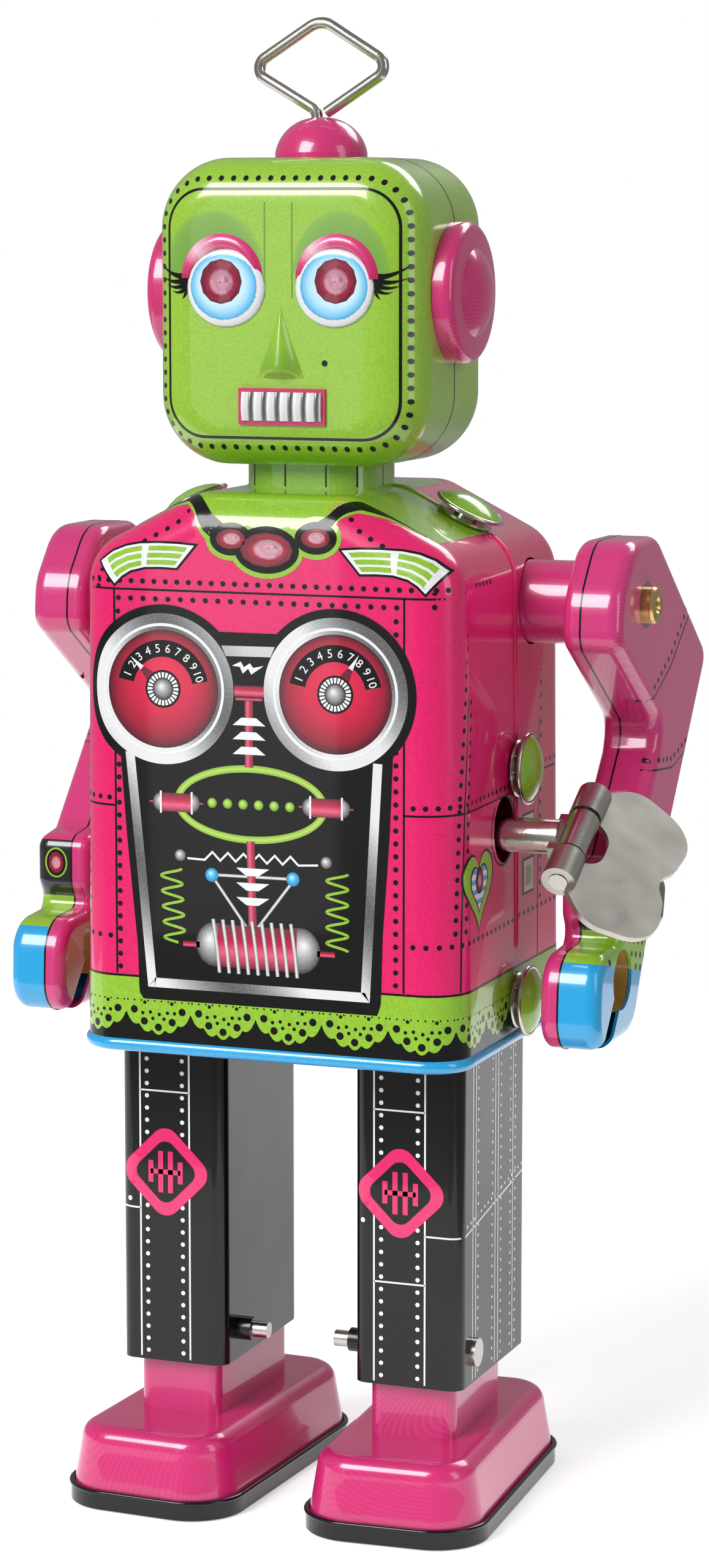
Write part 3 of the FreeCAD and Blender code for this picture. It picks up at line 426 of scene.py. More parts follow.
def ruled(low, high, rows=None):
    """Straight rows between two lines that have the same number of stops."""
    low, high = np.asarray(low, float), np.asarray(high, float)
    far = np.linalg.norm(high - low, axis=1).max()
    share = (even(0, 1, 0.9 / far) if rows is None else np.linspace(0, 1, rows))[:, None, None]
    return low * (1 - share) + high * share


def disc(u, v, wide, tall=None, sides=12, rows=2, glint=(0.0, 0.0), turn=0.0):
    """A round or oval patch as rings that grow from a glint inside it to its rim."""
    a = np.linspace(0, 2 * math.pi, sides + 1) + turn
    rim = np.stack((u + wide * np.cos(a), v + (wide if tall is None else tall) * np.sin(a)), -1)
    share = np.linspace(0, 1, rows)[:, None, None]
    return np.array([u + glint[0], v + glint[1]]) * (1 - share) + rim * share


def ring(u, v, inner, outer, start=0.0, end=360.0, sides=72, rows=3):
    """Part of a ring between two ovals, each given by its half width and half height."""
    a = np.radians(np.linspace(start, end, sides + 1))
    way = np.stack((np.cos(a), np.sin(a)), -1)
    share = np.linspace(0, 1, rows)[:, None, None]
    return np.array([u, v]) + way * (np.array(inner) * (1 - share) + np.array(outer) * share)


def dots(points, pitch, size):
    """Round dots along a line, one pitch apart."""
    points = np.asarray(points, float)
    length = np.linalg.norm(np.diff(points, axis=0), axis=1).sum()
    return [disc(u, v, size) for u, v in respace(points, int(round(length / pitch)) + 1)]


def fan(rim, centre):
    """A closed star-shaped outline filled from its centre."""
    rim = np.asarray(rim, float)
    rim = np.vstack((rim, rim[:1])) if not np.allclose(rim[0], rim[-1]) else rim
    rim = refine(rim)
    far = np.linalg.norm(rim - np.array(centre), axis=1).max()
    share = even(0, 1, 0.9 / far)[:, None, None]
    return np.array(centre, float) * (1 - share) + rim * share


CASE_LOW, CASE_RISE = 74.8, 72.5      # rim height, and the height to the shoulder line
CASE_FRONT, CASE_BACK, CASE_BEND = -25.2, 29.2, 6.5
SEAM = 57.0                           # arc length from the middle of the front to the seam


def case_half(z):
    """Half the width of the case: it narrows by 0.8 from the rim to the shoulder line."""
    return 31.85 - 0.8 * (z - CASE_LOW) / CASE_RISE


case_rim = outline([(-31.85, 74.8, 0), (31.85, 74.8, 0), (31.05, 152.8, 8), (12.5, 162.2, 7),
                    (-12.5, 162.2, 7), (-31.05, 152.8, 8)])
case_skin = wrapped(case_half, CASE_FRONT, CASE_BACK, CASE_BEND)
shoulder_skin = dished(case_rim, CASE_BEND, lambda u, v, d: np.stack((u, CASE_FRONT + d, v), -1))
shoulder_top = brim(case_rim, CASE_FRONT, CASE_BEND)
shoulder_back = brim(case_rim, -CASE_BACK, CASE_BEND)


def mirrored(skin):
    """The same skin on the robot's back: y turned round."""
    def turned_round(s, q):
        spot, face = skin(s, q)
        return spot * (1, -1, 1), face * (1, -1, 1)
    return turned_round


def tube(line, out, along, radius, sides=10):
    """A bead on a line: circles of the radius in the plane of the outward and across vectors."""
    a = np.linspace(0, 2 * math.pi, sides + 1)[:, None, None]
    return line + radius * (np.cos(a) * out + np.sin(a) * along)


def shell_of(grid):
    """Vertices, quads and uvs of one closed grid without walls."""
    rows, cols = grid.shape[:2]
    index = np.arange(rows * cols).reshape(rows, cols)
    quads = np.stack((index[:-1, :-1], index[:-1, 1:], index[1:, 1:], index[1:, :-1]), -1).reshape(-1, 4)
    across, up = np.meshgrid(np.linspace(0, 1, cols), np.linspace(0, 1, rows))
    return grid.reshape(-1, 3), quads, np.stack((across, up), -1).reshape(-1, 2)


def joined(*parts):
    """Several (vertices, quads, uvs) as one."""
    verts, quads, uvs = zip(*parts)
    starts = np.cumsum([0] + [len(v) for v in verts[:-1]])
    return np.vstack(verts), np.vstack([q + s for q, s in zip(quads, starts)]), np.vstack(uvs)


# rolled lip of the front shell, with the dark gap behind it
LIP_Q = CASE_BEND * math.pi / 2 + 3.3 - CASE_FRONT - CASE_BEND
LIP_PARTS = (("lip_right", -96.0, -28.0, pink_print), ("lip_collar", -28.0, 28.0, lime_print),
             ("lip_left", 28.0, 96.0, pink_print))
for name, start, end, print_colour in LIP_PARTS:
    lip_s = even(start, end, 0.6)
    lip_line, lip_out = shoulder_top(lip_s, np.full_like(lip_s, LIP_Q))
    lip = tube(lip_line - lip_out * 0.12, lip_out, np.array([0.0, 1.0, 0.0]), 0.5)
    lip[:, [0, -1]] = lip[:, [0, -1]].mean(0, keepdims=True)
    fresh(name, *shell_of(lip), print_colour, "case", "pink_tin")
gap_q = LIP_Q + 0.75
ink("seam_gap", [ribbon([(-96.0, gap_q), (96.0, gap_q)], 0.34)], shoulder_top, 1, black_print)

# ------------------------------------------------------------------ printed chest
# The front is printed in one go: a black instrument panel with two gauges, valves, springs and
# a coil, set in a grey frame, with riveted seams in black line and dot on the pink.
SEAM_LINE, DOT = 0.32, 0.42
DIALS = ((-16.5, 132.0), (12.0, 132.3))

panel_z = even(83.0, 127.0)
panel_left = np.interp(panel_z, (83.0, 84.0, 91.4, 108.6, 120.3, 127.0),
                       (-20.2, -20.9, -21.1, -22.8, -23.7, -24.0))
panel_right = np.interp(panel_z, (83.0, 84.5, 95.5, 111.0, 122.9, 127.0),
                        (18.8, 19.4, 19.7, 20.8, 21.3, 21.4))
panel = ruled(np.stack((panel_left, panel_z), -1), np.stack((panel_right, panel_z), -1))
dial_beds = [disc(u, v, 13.1, sides=72, rows=15) for u, v in DIALS]
ink("chest_panel", [panel], case_skin, 2.6, black_print)
ink("dial_bridge", [block(-9.0, 4.5, 126.0, 141.2)], case_skin, 2.8, black_print)
ink("dial_beds", dial_beds, case_skin, 3.0, black_print)

mid_left, mid_right = -24.7, 23.1
lines = [
    [(-SEAM, 147.3), (SEAM, 147.3)],
    [(mid_left, 147.3), (mid_left, 86.8)], [(mid_right, 147.3), (mid_right, 86.8)],
    [(-SEAM, 113.4), (mid_left, 113.4)], [(mid_right, 114.2), (SEAM, 114.6)],
    [(36.0, 147.3), (33.4, 115.0), (32.6, 96.0), (32.5, 86.8)],
    [(-36.0, 147.3), (-33.4, 115.0), (-32.6, 96.0), (-32.5, 86.8)],
    [(SEAM, 115.0), (71.0, 116.4), (106.0, 116.4)], [(-SEAM, 115.0), (-71.0, 116.4), (-106.0, 116.4)],
    [(69.2, 147.5), (68.2, 96.0), (68.0, 86.8)], [(-69.2, 147.5), (-68.2, 96.0), (-68.0, 86.8)],
    [(-112.0, 86.5), (112.0, 86.5)],
]
ink("case_seam_lines", [ribbon(line, SEAM_LINE) for line in lines], case_skin, 1.3, black_print)

rows_of_dots = [
    ([(-24.0, 145.9), (21.9, 145.9)], 2.05), ([(-29.5, 148.6), (30.0, 148.6)], 1.9),
    ([(-24.1, 143.8), (-24.1, 87.9)], 2.0), ([(21.8, 143.8), (21.8, 87.9)], 2.0),
    ([(-55.5, 114.6), (-25.8, 114.6)], 1.9), ([(24.6, 115.4), (55.5, 115.9)], 1.9),
    ([(-55.5, 92.7), (-25.8, 92.7)], 2.1), ([(24.6, 94.0), (55.5, 94.2)], 2.1),
    ([(34.9, 145.6), (32.2, 115.6), (31.4, 96.0)], 2.1), ([(37.0, 145.6), (34.6, 115.6), (33.8, 96.0)], 2.1),
    ([(-34.9, 145.6), (-32.2, 115.6), (-31.4, 96.0)], 2.1),
    ([(-37.0, 145.6), (-34.6, 115.6), (-33.8, 96.0)], 2.1),
    ([(38.5, 148.7), (45.0, 148.7)], 1.6), ([(-45.0, 148.7), (-38.5, 148.7)], 1.6),
    ([(70.3, 145.6), (69.3, 96.0)], 2.2), ([(-70.3, 145.6), (-69.3, 96.0)], 2.2),
    ([(59.0, 116.6), (71.0, 117.7), (106.0, 117.7)], 2.2),
    ([(-59.0, 116.6), (-71.0, 117.7), (-106.0, 117.7)], 2.2),
    ([(59.0, 94.5), (106.0, 94.5)], 2.2), ([(-59.0, 94.5), (-106.0, 94.5)], 2.2),
]
ink("case_dots", [d for line, pitch in rows_of_dots for d in dots(line, pitch, DOT)],
    case_skin, 1.5, black_print)


def blended(name, stops, along="V", grain=0.0):
    """Colour that shades from stop to stop across a patch (V) or along it (U), broken by a screen: printed shading
    on flat print, painted shade and highlight where it lies on pressed relief.
    """
    material, nodes, links, shader = finish(name, 0.26, 0.85)
    where = nodes.new("ShaderNodeUVMap")
    where.uv_map = "print"
    split = nodes.new("ShaderNodeSeparateXYZ")
    links.new(where.outputs["UV"], split.inputs["Vector"])
    value = split.outputs["Y" if along == "V" else "X"]
    if grain:
        speckle = noise(nodes, links, 3200.0)
        shift = nodes.new("ShaderNodeMath")
        shift.operation = "MULTIPLY_ADD"
        links.new(speckle.outputs["Fac"], shift.inputs[0])
        shift.inputs[1].default_value = grain
        links.new(value, shift.inputs[2])
        level = nodes.new("ShaderNodeMath")
        level.operation = "SUBTRACT"
        links.new(shift.outputs[0], level.inputs[0])
        level.inputs[1].default_value = grain / 2
        value = level.outputs[0]
    ramp = colours(nodes, links, value, stops)
    links.new(ramp.outputs["Color"], shader.inputs["Base Color"])
    wavy(nodes, links, shader, 55.0, 0.0002)
    return material


def silvered(name, dark=0.10, light=0.78):
    """Grey halftone that imitates bent metal: light and dark bands across the piece, with a screen."""
    material, nodes, links, shader = finish(name, 0.26, 0.85)
    where = nodes.new("ShaderNodeTexCoord")
    lean = nodes.new("ShaderNodeMapping")
    lean.inputs["Rotation"].default_value = (0.0, 0.7, 0.0)
    bands = nodes.new("ShaderNodeTexWave")
    bands.inputs["Scale"].default_value = wave_scale(26.0)
    bands.inputs["Distortion"].default_value = 1.2
    links.new(where.outputs["Object"], lean.inputs["Vector"])
    links.new(lean.outputs["Vector"], bands.inputs["Vector"])
    speckle = noise(nodes, links, 3000.0)
    mix = nodes.new("ShaderNodeMath")
    mix.operation = "MULTIPLY_ADD"
    links.new(speckle.outputs["Fac"], mix.inputs[0])
    mix.inputs[1].default_value = 0.35
    links.new(bands.outputs["Fac"], mix.inputs[2])
    ramp = colours(nodes, links, mix.outputs[0],
                   [(0.15, (dark, dark, dark)), (0.65, (0.42, 0.43, 0.44)), (1.0, (light, light, light))])
    links.new(ramp.outputs["Color"], shader.inputs["Base Color"])
    wavy(nodes, links, shader, 55.0, 0.0002)
    return material


silver_print = silvered("silver_print")
crimson_dial = blended("crimson_dial", [(0.0, (0.78, 0.01, 0.07)), (0.55, (0.62, 0.002, 0.05)),
                                        (0.86, (0.30, 0.0, 0.025)), (1.0, (0.05, 0.0, 0.006))], grain=0.12)
crimson_tube = blended("crimson_tube", [(0.0, (0.14, 0.0, 0.02)), (0.35, (0.80, 0.10, 0.20)),
                                        (0.6, (0.50, 0.004, 0.05)), (1.0, (0.12, 0.0, 0.015))], grain=0.15)
silver_tube = blended("silver_tube", [(0.0, (0.16, 0.16, 0.16)), (0.45, (0.85, 0.85, 0.85)),
                                      (1.0, (0.14, 0.14, 0.14))], grain=0.2)
silver_ball = blended("silver_ball", [(0.0, (0.88, 0.88, 0.88)), (0.45, (0.40, 0.40, 0.41)),
                                      (1.0, (0.03, 0.03, 0.03))], grain=0.25)
lime_ball = blended("lime_ball", [(0.0, (0.55, 0.80, 0.18)), (0.6, (0.30, 0.55, 0.03)),
                                  (1.0, (0.08, 0.20, 0.01))], grain=0.2)
blue_ball = blended("blue_ball", [(0.0, (0.55, 0.88, 0.98)), (0.5, (0.03, 0.45, 0.85)),
                                  (1.0, (0.0, 0.18, 0.45))], grain=0.15)
lime_tube = blended("lime_tube", [(0.0, (0.20, 0.42, 0.02)), (0.5, (0.46, 0.70, 0.10)),
                                  (1.0, (0.20, 0.42, 0.02))], grain=0.1)

ink("dial_bezels", [ring(u, v, (9.1, 9.1), (11.75, 11.75), sides=144, rows=8) for u, v in DIALS],
    case_skin, 3.6, silver_print)
ink("dial_bezel_lines", [ring(u, v, (9.75, 9.75), (10.2, 10.2), sides=144, rows=3) for u, v in DIALS],
    case_skin, 4.6, white_print)
ink("dial_faces", [disc(u, v, 9.2, sides=60, rows=12, glint=(0.0, 3.0)) for u, v in DIALS],
    case_skin, 4.4, crimson_dial)
ink("dial_scales", [ring(u, v, (5.0, 5.0), (7.6, 7.6), 11, 169, 36) for u, v in DIALS]
    + [disc(u, v, 2.95, sides=32) for u, v in DIALS], case_skin, 5, black_print)
ticks = []
for u, v in DIALS:
    a = np.radians(np.arange(0, 360, 15))
    ticks += [ruled([(u + 1.75 * math.cos(t - 0.08), v + 1.75 * math.sin(t - 0.08)),
                     (u + 1.75 * math.cos(t + 0.08), v + 1.75 * math.sin(t + 0.08))],
                    [(u + 2.6 * math.cos(t - 0.09), v + 2.6 * math.sin(t - 0.09)),
                     (u + 2.6 * math.cos(t + 0.09), v + 2.6 * math.sin(t + 0.09))]) for t in a]
ink("dial_hub_ticks", ticks, case_skin, 6, white_print)
ink("dial_hubs", [disc(u, v, 1.65, sides=24, rows=5, glint=(-0.4, 0.45)) for u, v in DIALS],
    case_skin, 6, silver_ball)


def needle(centre, degrees, near, far, width):
    """A pointed needle from one radius to another."""
    a = math.radians(degrees)
    way, side = np.array([math.cos(a), math.sin(a)]), np.array([-math.sin(a), math.cos(a)])
    base, tip = np.array(centre) + way * near, np.array(centre) + way * far
    return ruled([base - side * width / 2, base + side * width / 2], [tip, tip], rows=4)


POINTING = (138.0, 58.0)
ink("dial_needle_shadows", [needle(c, a, 2.9, 6.0, 1.7) for c, a in zip(DIALS, POINTING)],
    case_skin, 5.5, printed("needle_shadow", (0.16, 0.0, 0.02)))
ink("dial_needles", [needle(c, a, 4.7, 7.3, 0.8) for c, a in zip(DIALS, POINTING)], case_skin, 6.5, white_print)


def numerals(words, size, centre, radius, bearings):
    """Extruded figures set round an arc: each is turned so that it stands on the arc."""
    verts, tris, start = [], [], 0
    for word, bearing in zip(words, bearings):
        curve = bpy.data.curves.new("figure", "FONT")
        curve.body, curve.size, curve.extrude = word, size, 0.03
        curve.align_x = curve.align_y = "CENTER"
        curve.resolution_u = 3
        holder = bpy.data.objects.new("figure", curve)
        bpy.context.scene.collection.objects.link(holder)
        flat = bpy.data.meshes.new_from_object(holder.evaluated_get(bpy.context.evaluated_depsgraph_get()))
        flat.calc_loop_triangles()
        co = np.zeros(len(flat.vertices) * 3)
        flat.vertices.foreach_get("co", co)
        tri = np.zeros(len(flat.loop_triangles) * 3, int)
        flat.loop_triangles.foreach_get("vertices", tri)
        co = co.reshape(-1, 3)
        a, t = math.radians(bearing), math.radians(bearing - 90)
        u = centre[0] + radius * math.cos(a) + co[:, 0] * math.cos(t) - co[:, 1] * math.sin(t)
        v = centre[1] + radius * math.sin(a) + co[:, 0] * math.sin(t) + co[:, 1] * math.cos(t)
        spot, face = case_skin(u, v)
        verts.append(spot + face * (COAT * 5.2 + co[:, 2:]))
        tris.append(tri.reshape(-1, 3) + start)
        start += len(co)
        bpy.data.objects.remove(holder)
        bpy.data.curves.remove(curve)
        bpy.data.meshes.remove(flat)
    verts, tris = np.vstack(verts), np.vstack(tris)
    return verts, tris, np.zeros((len(verts), 2))


FIGURES = [str(n) for n in range(1, 11)]
BEARINGS = np.linspace(160.0, 20.0, 10)
fresh("dial_figures", *joined(*[numerals(FIGURES, 1.9, c, 6.25, BEARINGS) for c in DIALS]),
      white_print, "case", "pink_tin")

# grey frame, bar, bolt, valve stems and fins
ink("panel_frame", [ribbon([(-22.2, 122.0), (-20.4, 104.0), (-18.7, 85.7), (16.9, 85.7), (17.9, 104.0),
                            (18.9, 122.0)], 1.5)], case_skin, 3.3, silver_print)
ink("bridge_bar", [ruled([(-6.75, 139.1), (2.1, 139.2)], [(-6.0, 137.5), (1.4, 137.6)])], case_skin, 3.3,
    silvered("bridge_silver", 0.35, 0.6))
fins = [ruled([(-4.9, z), (0.55, z)], [(-3.45, z + 1.2), (-1.0, z + 1.2)]) for z in (126.9, 124.7, 122.4)]
fins += [ruled([(-4.4, z), (1.1, z)], [(-2.7, z - 1.2), (-0.7, z - 1.2)]) for z in (104.7, 102.4, 100.1)]
bolt = ruled([(-4.9, 136.1), (-3.5, 136.75), (-3.0, 135.9), (-2.0, 136.55), (-1.5, 135.85), (0.2, 136.2)],
             [(-4.9, 136.05), (-3.7, 135.95), (-3.2, 134.9), (-2.3, 135.7), (-1.8, 134.8), (0.2, 136.15)])
ink("stem_fins", fins, case_skin, 5, white_print)
zig_u = np.arange(-9.7, 6.6, 1.3)
zig = np.stack((zig_u, np.where(np.arange(len(zig_u)) % 2, 106.9, 105.6)), -1)
ink("white_wires", [ribbon(np.vstack(([(-12.6, 105.7)], zig, [(9.15, 105.8)])), 0.32), bolt],
    case_skin, 3.3, white_print)
ink("valve_stems", [ribbon([(-2.2, 130.7), (-2.2, 120.4)], 1.4, 6),
                    ribbon([(-2.0, 108.9), (-1.7, 95.6)], 1.4, 6),
                    ribbon([(-4.6, 132.2), (0.2, 132.2)], 1.7, 6), ribbon([(-4.4, 131.0), (0.0, 131.0)], 0.5, 4),
                    ribbon([(-13.4, 92.2), (-10.6, 92.2)], 0.9, 5), ribbon([(9.0, 92.0), (11.9, 92.0)], 0.9, 5)],
    case_skin, 4, crimson_tube)

# oval loop, lamps and capsules
ink("oval_loop", [ring(-2.0, 114.65, (11.55, 4.95), (12.75, 6.1), sides=96, rows=5)], case_skin, 3.4, lime_tube)
ink("oval_lamps", [disc(u, 114.6, 0.8, sides=16, rows=4, glint=(-0.2, 0.2)) for u in np.linspace(-8.4, 4.5, 6)],
    case_skin, 3.4, lime_ball)
capsules = ((-14.4, 114.35), (10.5, 114.75))
ink("capsule_ends", [disc(u + side * 2.5, v, 1.45, 1.5, 24, 5, (-0.2, 0.4))
                     for u, v in capsules for side in (-1, 1)], case_skin, 4, silver_ball)
ink("capsule_tubes", [ribbon([(u - 2.6, v), (u + 2.6, v)], 2.9, 8) for u, v in capsules]
    + [ribbon([(u + side * 3.9, v), (u + side * 4.5, v)], 0.3) for u, v in capsules for side in (-1, 1)],
    case_skin, 5, crimson_tube)
ink("capsule_bands", [ribbon([(u + side * 2.6, v - 1.75), (u + side * 2.6, v + 1.75)], 0.3)
                      for u, v in capsules for side in (-1, 1)], case_skin, 6, white_print)

# springs, balls, triangle and coil
turns = np.linspace(0, 1, 120)
spring_left = np.stack((-15.35 + 1.75 * np.cos(turns * 2 * math.pi * 4.8) + 0.6 * turns, 104.0 - 11.7 * turns), -1)
spring_right = np.stack((12.3 + 1.75 * np.cos(turns * 2 * math.pi * 5.0), 104.7 - 12.1 * turns), -1)
ink("lime_springs", [ribbon(spring_left, 0.42), ribbon(spring_right, 0.42)], case_skin, 3.4, lime_print)
ink("silver_balls", [disc(-13.8, 106.1, 0.95, sides=20, rows=5, glint=(-0.25, 0.25)),
                     disc(10.5, 106.3, 0.95, sides=20, rows=5, glint=(-0.25, 0.25))], case_skin, 3.4, silver_ball)
ink("triangle_rods", [ribbon([(-8.5, 103.35), (5.0, 103.4)], 0.5, 4),
                      ribbon([(-8.2, 102.8), (-2.7, 95.4)], 0.5, 4),
                      ribbon([(4.8, 102.8), (-0.9, 95.4)], 0.5, 4)], case_skin, 3.4, silver_tube)
ink("triangle_balls", [disc(-8.5, 103.3, 1.1, sides=20, rows=5, glint=(-0.25, 0.35)),
                       disc(5.0, 103.4, 1.1, sides=20, rows=5, glint=(-0.25, 0.35))], case_skin, 4, blue_ball)
ink("coil_ends", [disc(-8.0, 92.4, 3.2, 3.5, 32, 8, (-1.0, 0.9)), disc(6.1, 92.3, 3.4, 3.6, 32, 8, (0.8, 0.9))],
    case_skin, 4, silver_ball)
ink("coil_core", [ribbon([(-7.6, 92.3), (5.6, 92.2)], 6.7, 12)], case_skin, 5, crimson_tube)
windings = []
for k in range(9):
    u = -8.3 + 1.62 * k
    windings.append(ribbon([(u, 96.4), (u + 0.35, 94.0), (u + 0.75, 91.0), (u + 1.05, 88.0)], 0.62, 5))
ink("coil_windings", windings, case_skin, 6, silver_tube)

# ------------------------------------------------------------------ lace hem and skirt bead
# Below the seam the print turns to a lime lace hem on black that runs all round the case,
# and the raw edge of both shells is rolled outwards into a blue bead.
HEM_TOP, HEM_PITCH, HEM_START = 86.3, 10.95, -23.2
AROUND = 112.2
hem_u = even(-AROUND, AROUND, 0.22)


def scallop(u):
    """Lower edge of the lace: fans between junctions at 81.1, each with five round petals."""
    share = np.mod((u - HEM_START) / HEM_PITCH, 1.0)
    return 81.1 - 3.0 * np.sin(math.pi * share) ** 0.75 - 0.75 * np.abs(np.sin(5 * math.pi * share)) ** 0.8


ink("hem_ground", [block(-AROUND, AROUND, 76.2, 82.6)], case_skin, 1, black_print)
ink("hem_lace", [ruled(np.stack((hem_u, scallop(hem_u)), -1), np.stack((hem_u, 0 * hem_u + HEM_TOP), -1), 9)],
    case_skin, 1.6, lime_print)
holes = []
for k in range(-9, 12):
    c = HEM_START + HEM_PITCH * (k + 0.5)
    if abs(c) > AROUND - 5:
        continue
    holes += [disc(c + du, z, 0.62, sides=10) for du, z in
              ((-4.1, 81.2), (-2.4, 79.4), (0.0, 78.55), (2.35, 79.45), (4.05, 81.2))]
    holes += [disc(c + du, z, 0.3, sides=8) for du, z in
              ((-0.95, 79.9), (0.95, 79.9), (-2.65, 80.7), (-1.35, 80.9), (0.15, 80.6), (1.55, 80.9), (2.75, 80.9),
               (-2.3, 82.4), (2.3, 82.4))]
    holes += [disc(c + du, 82.7, 0.16, sides=6) for du in np.arange(-5.2, 5.3, 1.15)]
ink("hem_holes", holes, case_skin, 2.2, black_print)

bead_s = np.append(np.linspace(-AROUND - 0.28, AROUND + 0.28, 360), -AROUND - 0.28)[:-1]
bead_line, bead_out = case_skin(bead_s, np.full_like(bead_s, 75.4))
bead_line[-1], bead_out[-1] = bead_line[0], bead_out[0]
bead = tube(bead_line - bead_out * 0.55, bead_out, np.array([0.0, 0.0, 1.0]), 1.12, 16)
fresh("skirt_bead", *shell_of(bead), blue_print, "case", "pink_tin")

# ------------------------------------------------------------------ shoulders
# The shoulders carry a printed collar: a lime bib that runs up to the neck, a black strap with
# three faceted stones, and a striped epaulette on each side.
STONES = ((-5.1, 155.5, 2.45, 1.55), (0.8, 154.0, 4.3, 2.65), (8.8, 156.0, 2.4, 1.5))
bib_s = even(-27.0, 28.0, 0.7)
bib_q = np.interp(bib_s, (-27, -20, -13.5, -9, -6, 0.8, 8.5, 11.0, 15.5, 21.5, 28),
                  (10.5, 9.4, 7.6, 1.6, -1.0, -2.5, -1.0, 1.6, 7.6, 9.4, 10.5))
seam_q = LIP_Q - 0.2
ink("lime_bib", [ruled(np.stack((bib_s, bib_q), -1), np.stack((bib_s, 0 * bib_s + seam_q), -1))],
    shoulder_top, 1, lime_print)
ink("lime_bib_back", [block(-13.5, 13.5, CASE_BEND * math.pi / 2 + 3, LIP_Q - 1.0)], mirrored(shoulder_back),
    1, lime_print)
straps, strap_edges = [], []
for way in (-1, 1):
    strap = [(0.8 + way * s, q) for s, q in ((7.0, 0.4), (10.0, 2.6), (14.2, 8.2), (18.5, 9.6), (24.5, 10.1))]
    low = [(s + way * 0.5, q - w) for (s, q), w in zip(strap, (1.7, 1.6, 1.1, 0.5, 0.05))]
    high = [(s - way * 0.5, q + w) for (s, q), w in zip(strap, (1.2, 1.2, 1.0, 0.4, 0.05))]
    edge = [(s, q - w) for (s, q), w in zip(low, (1.0, 1.0, 0.9, 0.6, 0.3))]
    straps.append(ruled(respace(low, 30), respace(high, 30), 5))
    strap_edges.append(ruled(respace(edge, 30), respace(high, 30), 6))
ink("collar_piping", strap_edges, shoulder_top, 2, lime_print)
ink("collar_strap", straps, shoulder_top, 3, black_print)
for part, wider, taller, layer, part_print in (("piping", 1.75, 1.75, 2.3, lime_print),
                                               ("setting", 1.0, 0.95, 4, black_print)):
    for i, (u, v, a, b) in enumerate(STONES):
        ink(f"stone_{part}_{i}", [disc(u, v, a + wider, b + taller, 40, 6)], shoulder_skin,
            layer + 0.3 * (i % 2), part_print)


def faceted(name, deep, light):
    """Print of a cut stone: cells of light and dark pink that pale towards the middle."""
    material, nodes, links, shader = finish(name, 0.25, 0.85)
    where = nodes.new("ShaderNodeUVMap")
    where.uv_map = "print"
    cut = nodes.new("ShaderNodeTexVoronoi")
    cut.voronoi_dimensions = "2D"
    cut.inputs["Scale"].default_value = 5.0
    links.new(where.outputs["UV"], cut.inputs["Vector"])
    split = nodes.new("ShaderNodeSeparateXYZ")
    links.new(where.outputs["UV"], split.inputs["Vector"])
    rim = colours(nodes, links, split.outputs["Y"],
                  [(0.0, light), (0.5, shade(light, 0.75)), (0.62, deep), (1.0, shade(deep, 0.55))])
    cell = nodes.new("ShaderNodeSeparateColor")
    links.new(cut.outputs["Color"], cell.inputs["Color"])
    facet = colours(nodes, links, cell.outputs["Red"], [(0.0, (0.45, 0.45, 0.45)), (1.0, (1.0, 1.0, 1.0))])
    mix = nodes.new("ShaderNodeMix")
    mix.data_type, mix.blend_type = "RGBA", "MULTIPLY"
    mix.inputs["Factor"].default_value = 1.0
    links.new(rim.outputs["Color"], mix.inputs["A"])
    links.new(facet.outputs["Color"], mix.inputs["B"])
    links.new(mix.outputs["Result"], shader.inputs["Base Color"])
    wavy(nodes, links, shader, 55.0, 0.0001)
    return material


stone_print = faceted("stone_print", (0.42, 0.0, 0.035), (0.86, 0.42, 0.52))
ink("collar_stones", [disc(u, v, a, b, 12, 5, (0.15 * a, 0.1 * b)) for u, v, a, b in STONES],
    shoulder_skin, 5, stone_print)

epaulette_out = [(-27.4, 151.4), (-25.4, 152.9), (-23.1, 153.8), (-20.6, 154.3), (-17.2, 154.5), (-14.0, 154.5),
                 (-11.2, 154.3)]
epaulette_in = [(-24.6, 148.1), (-23.4, 149.3), (-21.9, 150.2), (-19.5, 150.8), (-16.9, 150.9), (-14.2, 150.8)]
epaulette = ruled(respace(epaulette_in, 41), respace(epaulette_out, 41), 21)


def flipped(grid):
    """The patch on the other side of the chest, whose print is centred on u = 0.9."""
    return grid * (-1, 1) + (2 * 0.9, 0)


def bars(grid):
    """Three lime bars in two columns, cut out of an epaulette's grid."""
    return [grid[low:low + 5, start:start + 17] for low in (2, 8, 14) for start in (3, 22)]


def bordered(grid, width):
    """A ribbon laid along the outline of a grid, reaching a width to either side of it."""
    rim = np.vstack((grid[0], grid[1:, -1], grid[-1, ::-1][1:], grid[::-1, 0][1:]))
    return ribbon(rim, width * 2, rows=3)


both = [epaulette, flipped(epaulette)]
ink("epaulette_edges", [bordered(g, 0.35) for g in both], shoulder_skin, 2, black_print)
ink("epaulettes", both, shoulder_skin, 2.5, white_print)
ink("epaulette_bars", [bar for g in both for bar in bars(g)], shoulder_skin, 3.3, lime_print)
edge_dots = []
for way in (-1, 1):
    s = 0.8 + way * np.arange(14.5, 40.0, 2.15)
    q = np.interp(np.abs(s - 0.8), (14, 17, 30, 40), (4.8, 3.4, 3.2, 3.2))
    edge_dots += [disc(a, b, DOT) for a, b in zip(s, q)]
ink("shoulder_dots", edge_dots, shoulder_top, 2, black_print)

# ------------------------------------------------------------------ side badge and labels
# The left side has a striped heart with a stone in it, and the back shell two small window labels.
heart_t = np.linspace(0, 2 * math.pi, 97)
heart = np.stack((16 * np.sin(heart_t) ** 3, 13 * np.cos(heart_t) - 5 * np.cos(2 * heart_t)
                  - 2 * np.cos(3 * heart_t) - np.cos(4 * heart_t)), -1)
HEART_AT = (39.2, 102.4)


def heart_of(size):
    """The heart at a share of its full size, filled from its middle."""
    spread = heart * (0.42, 0.44) * size + HEART_AT
    return fan(spread, (HEART_AT[0], HEART_AT[1] + 0.2))


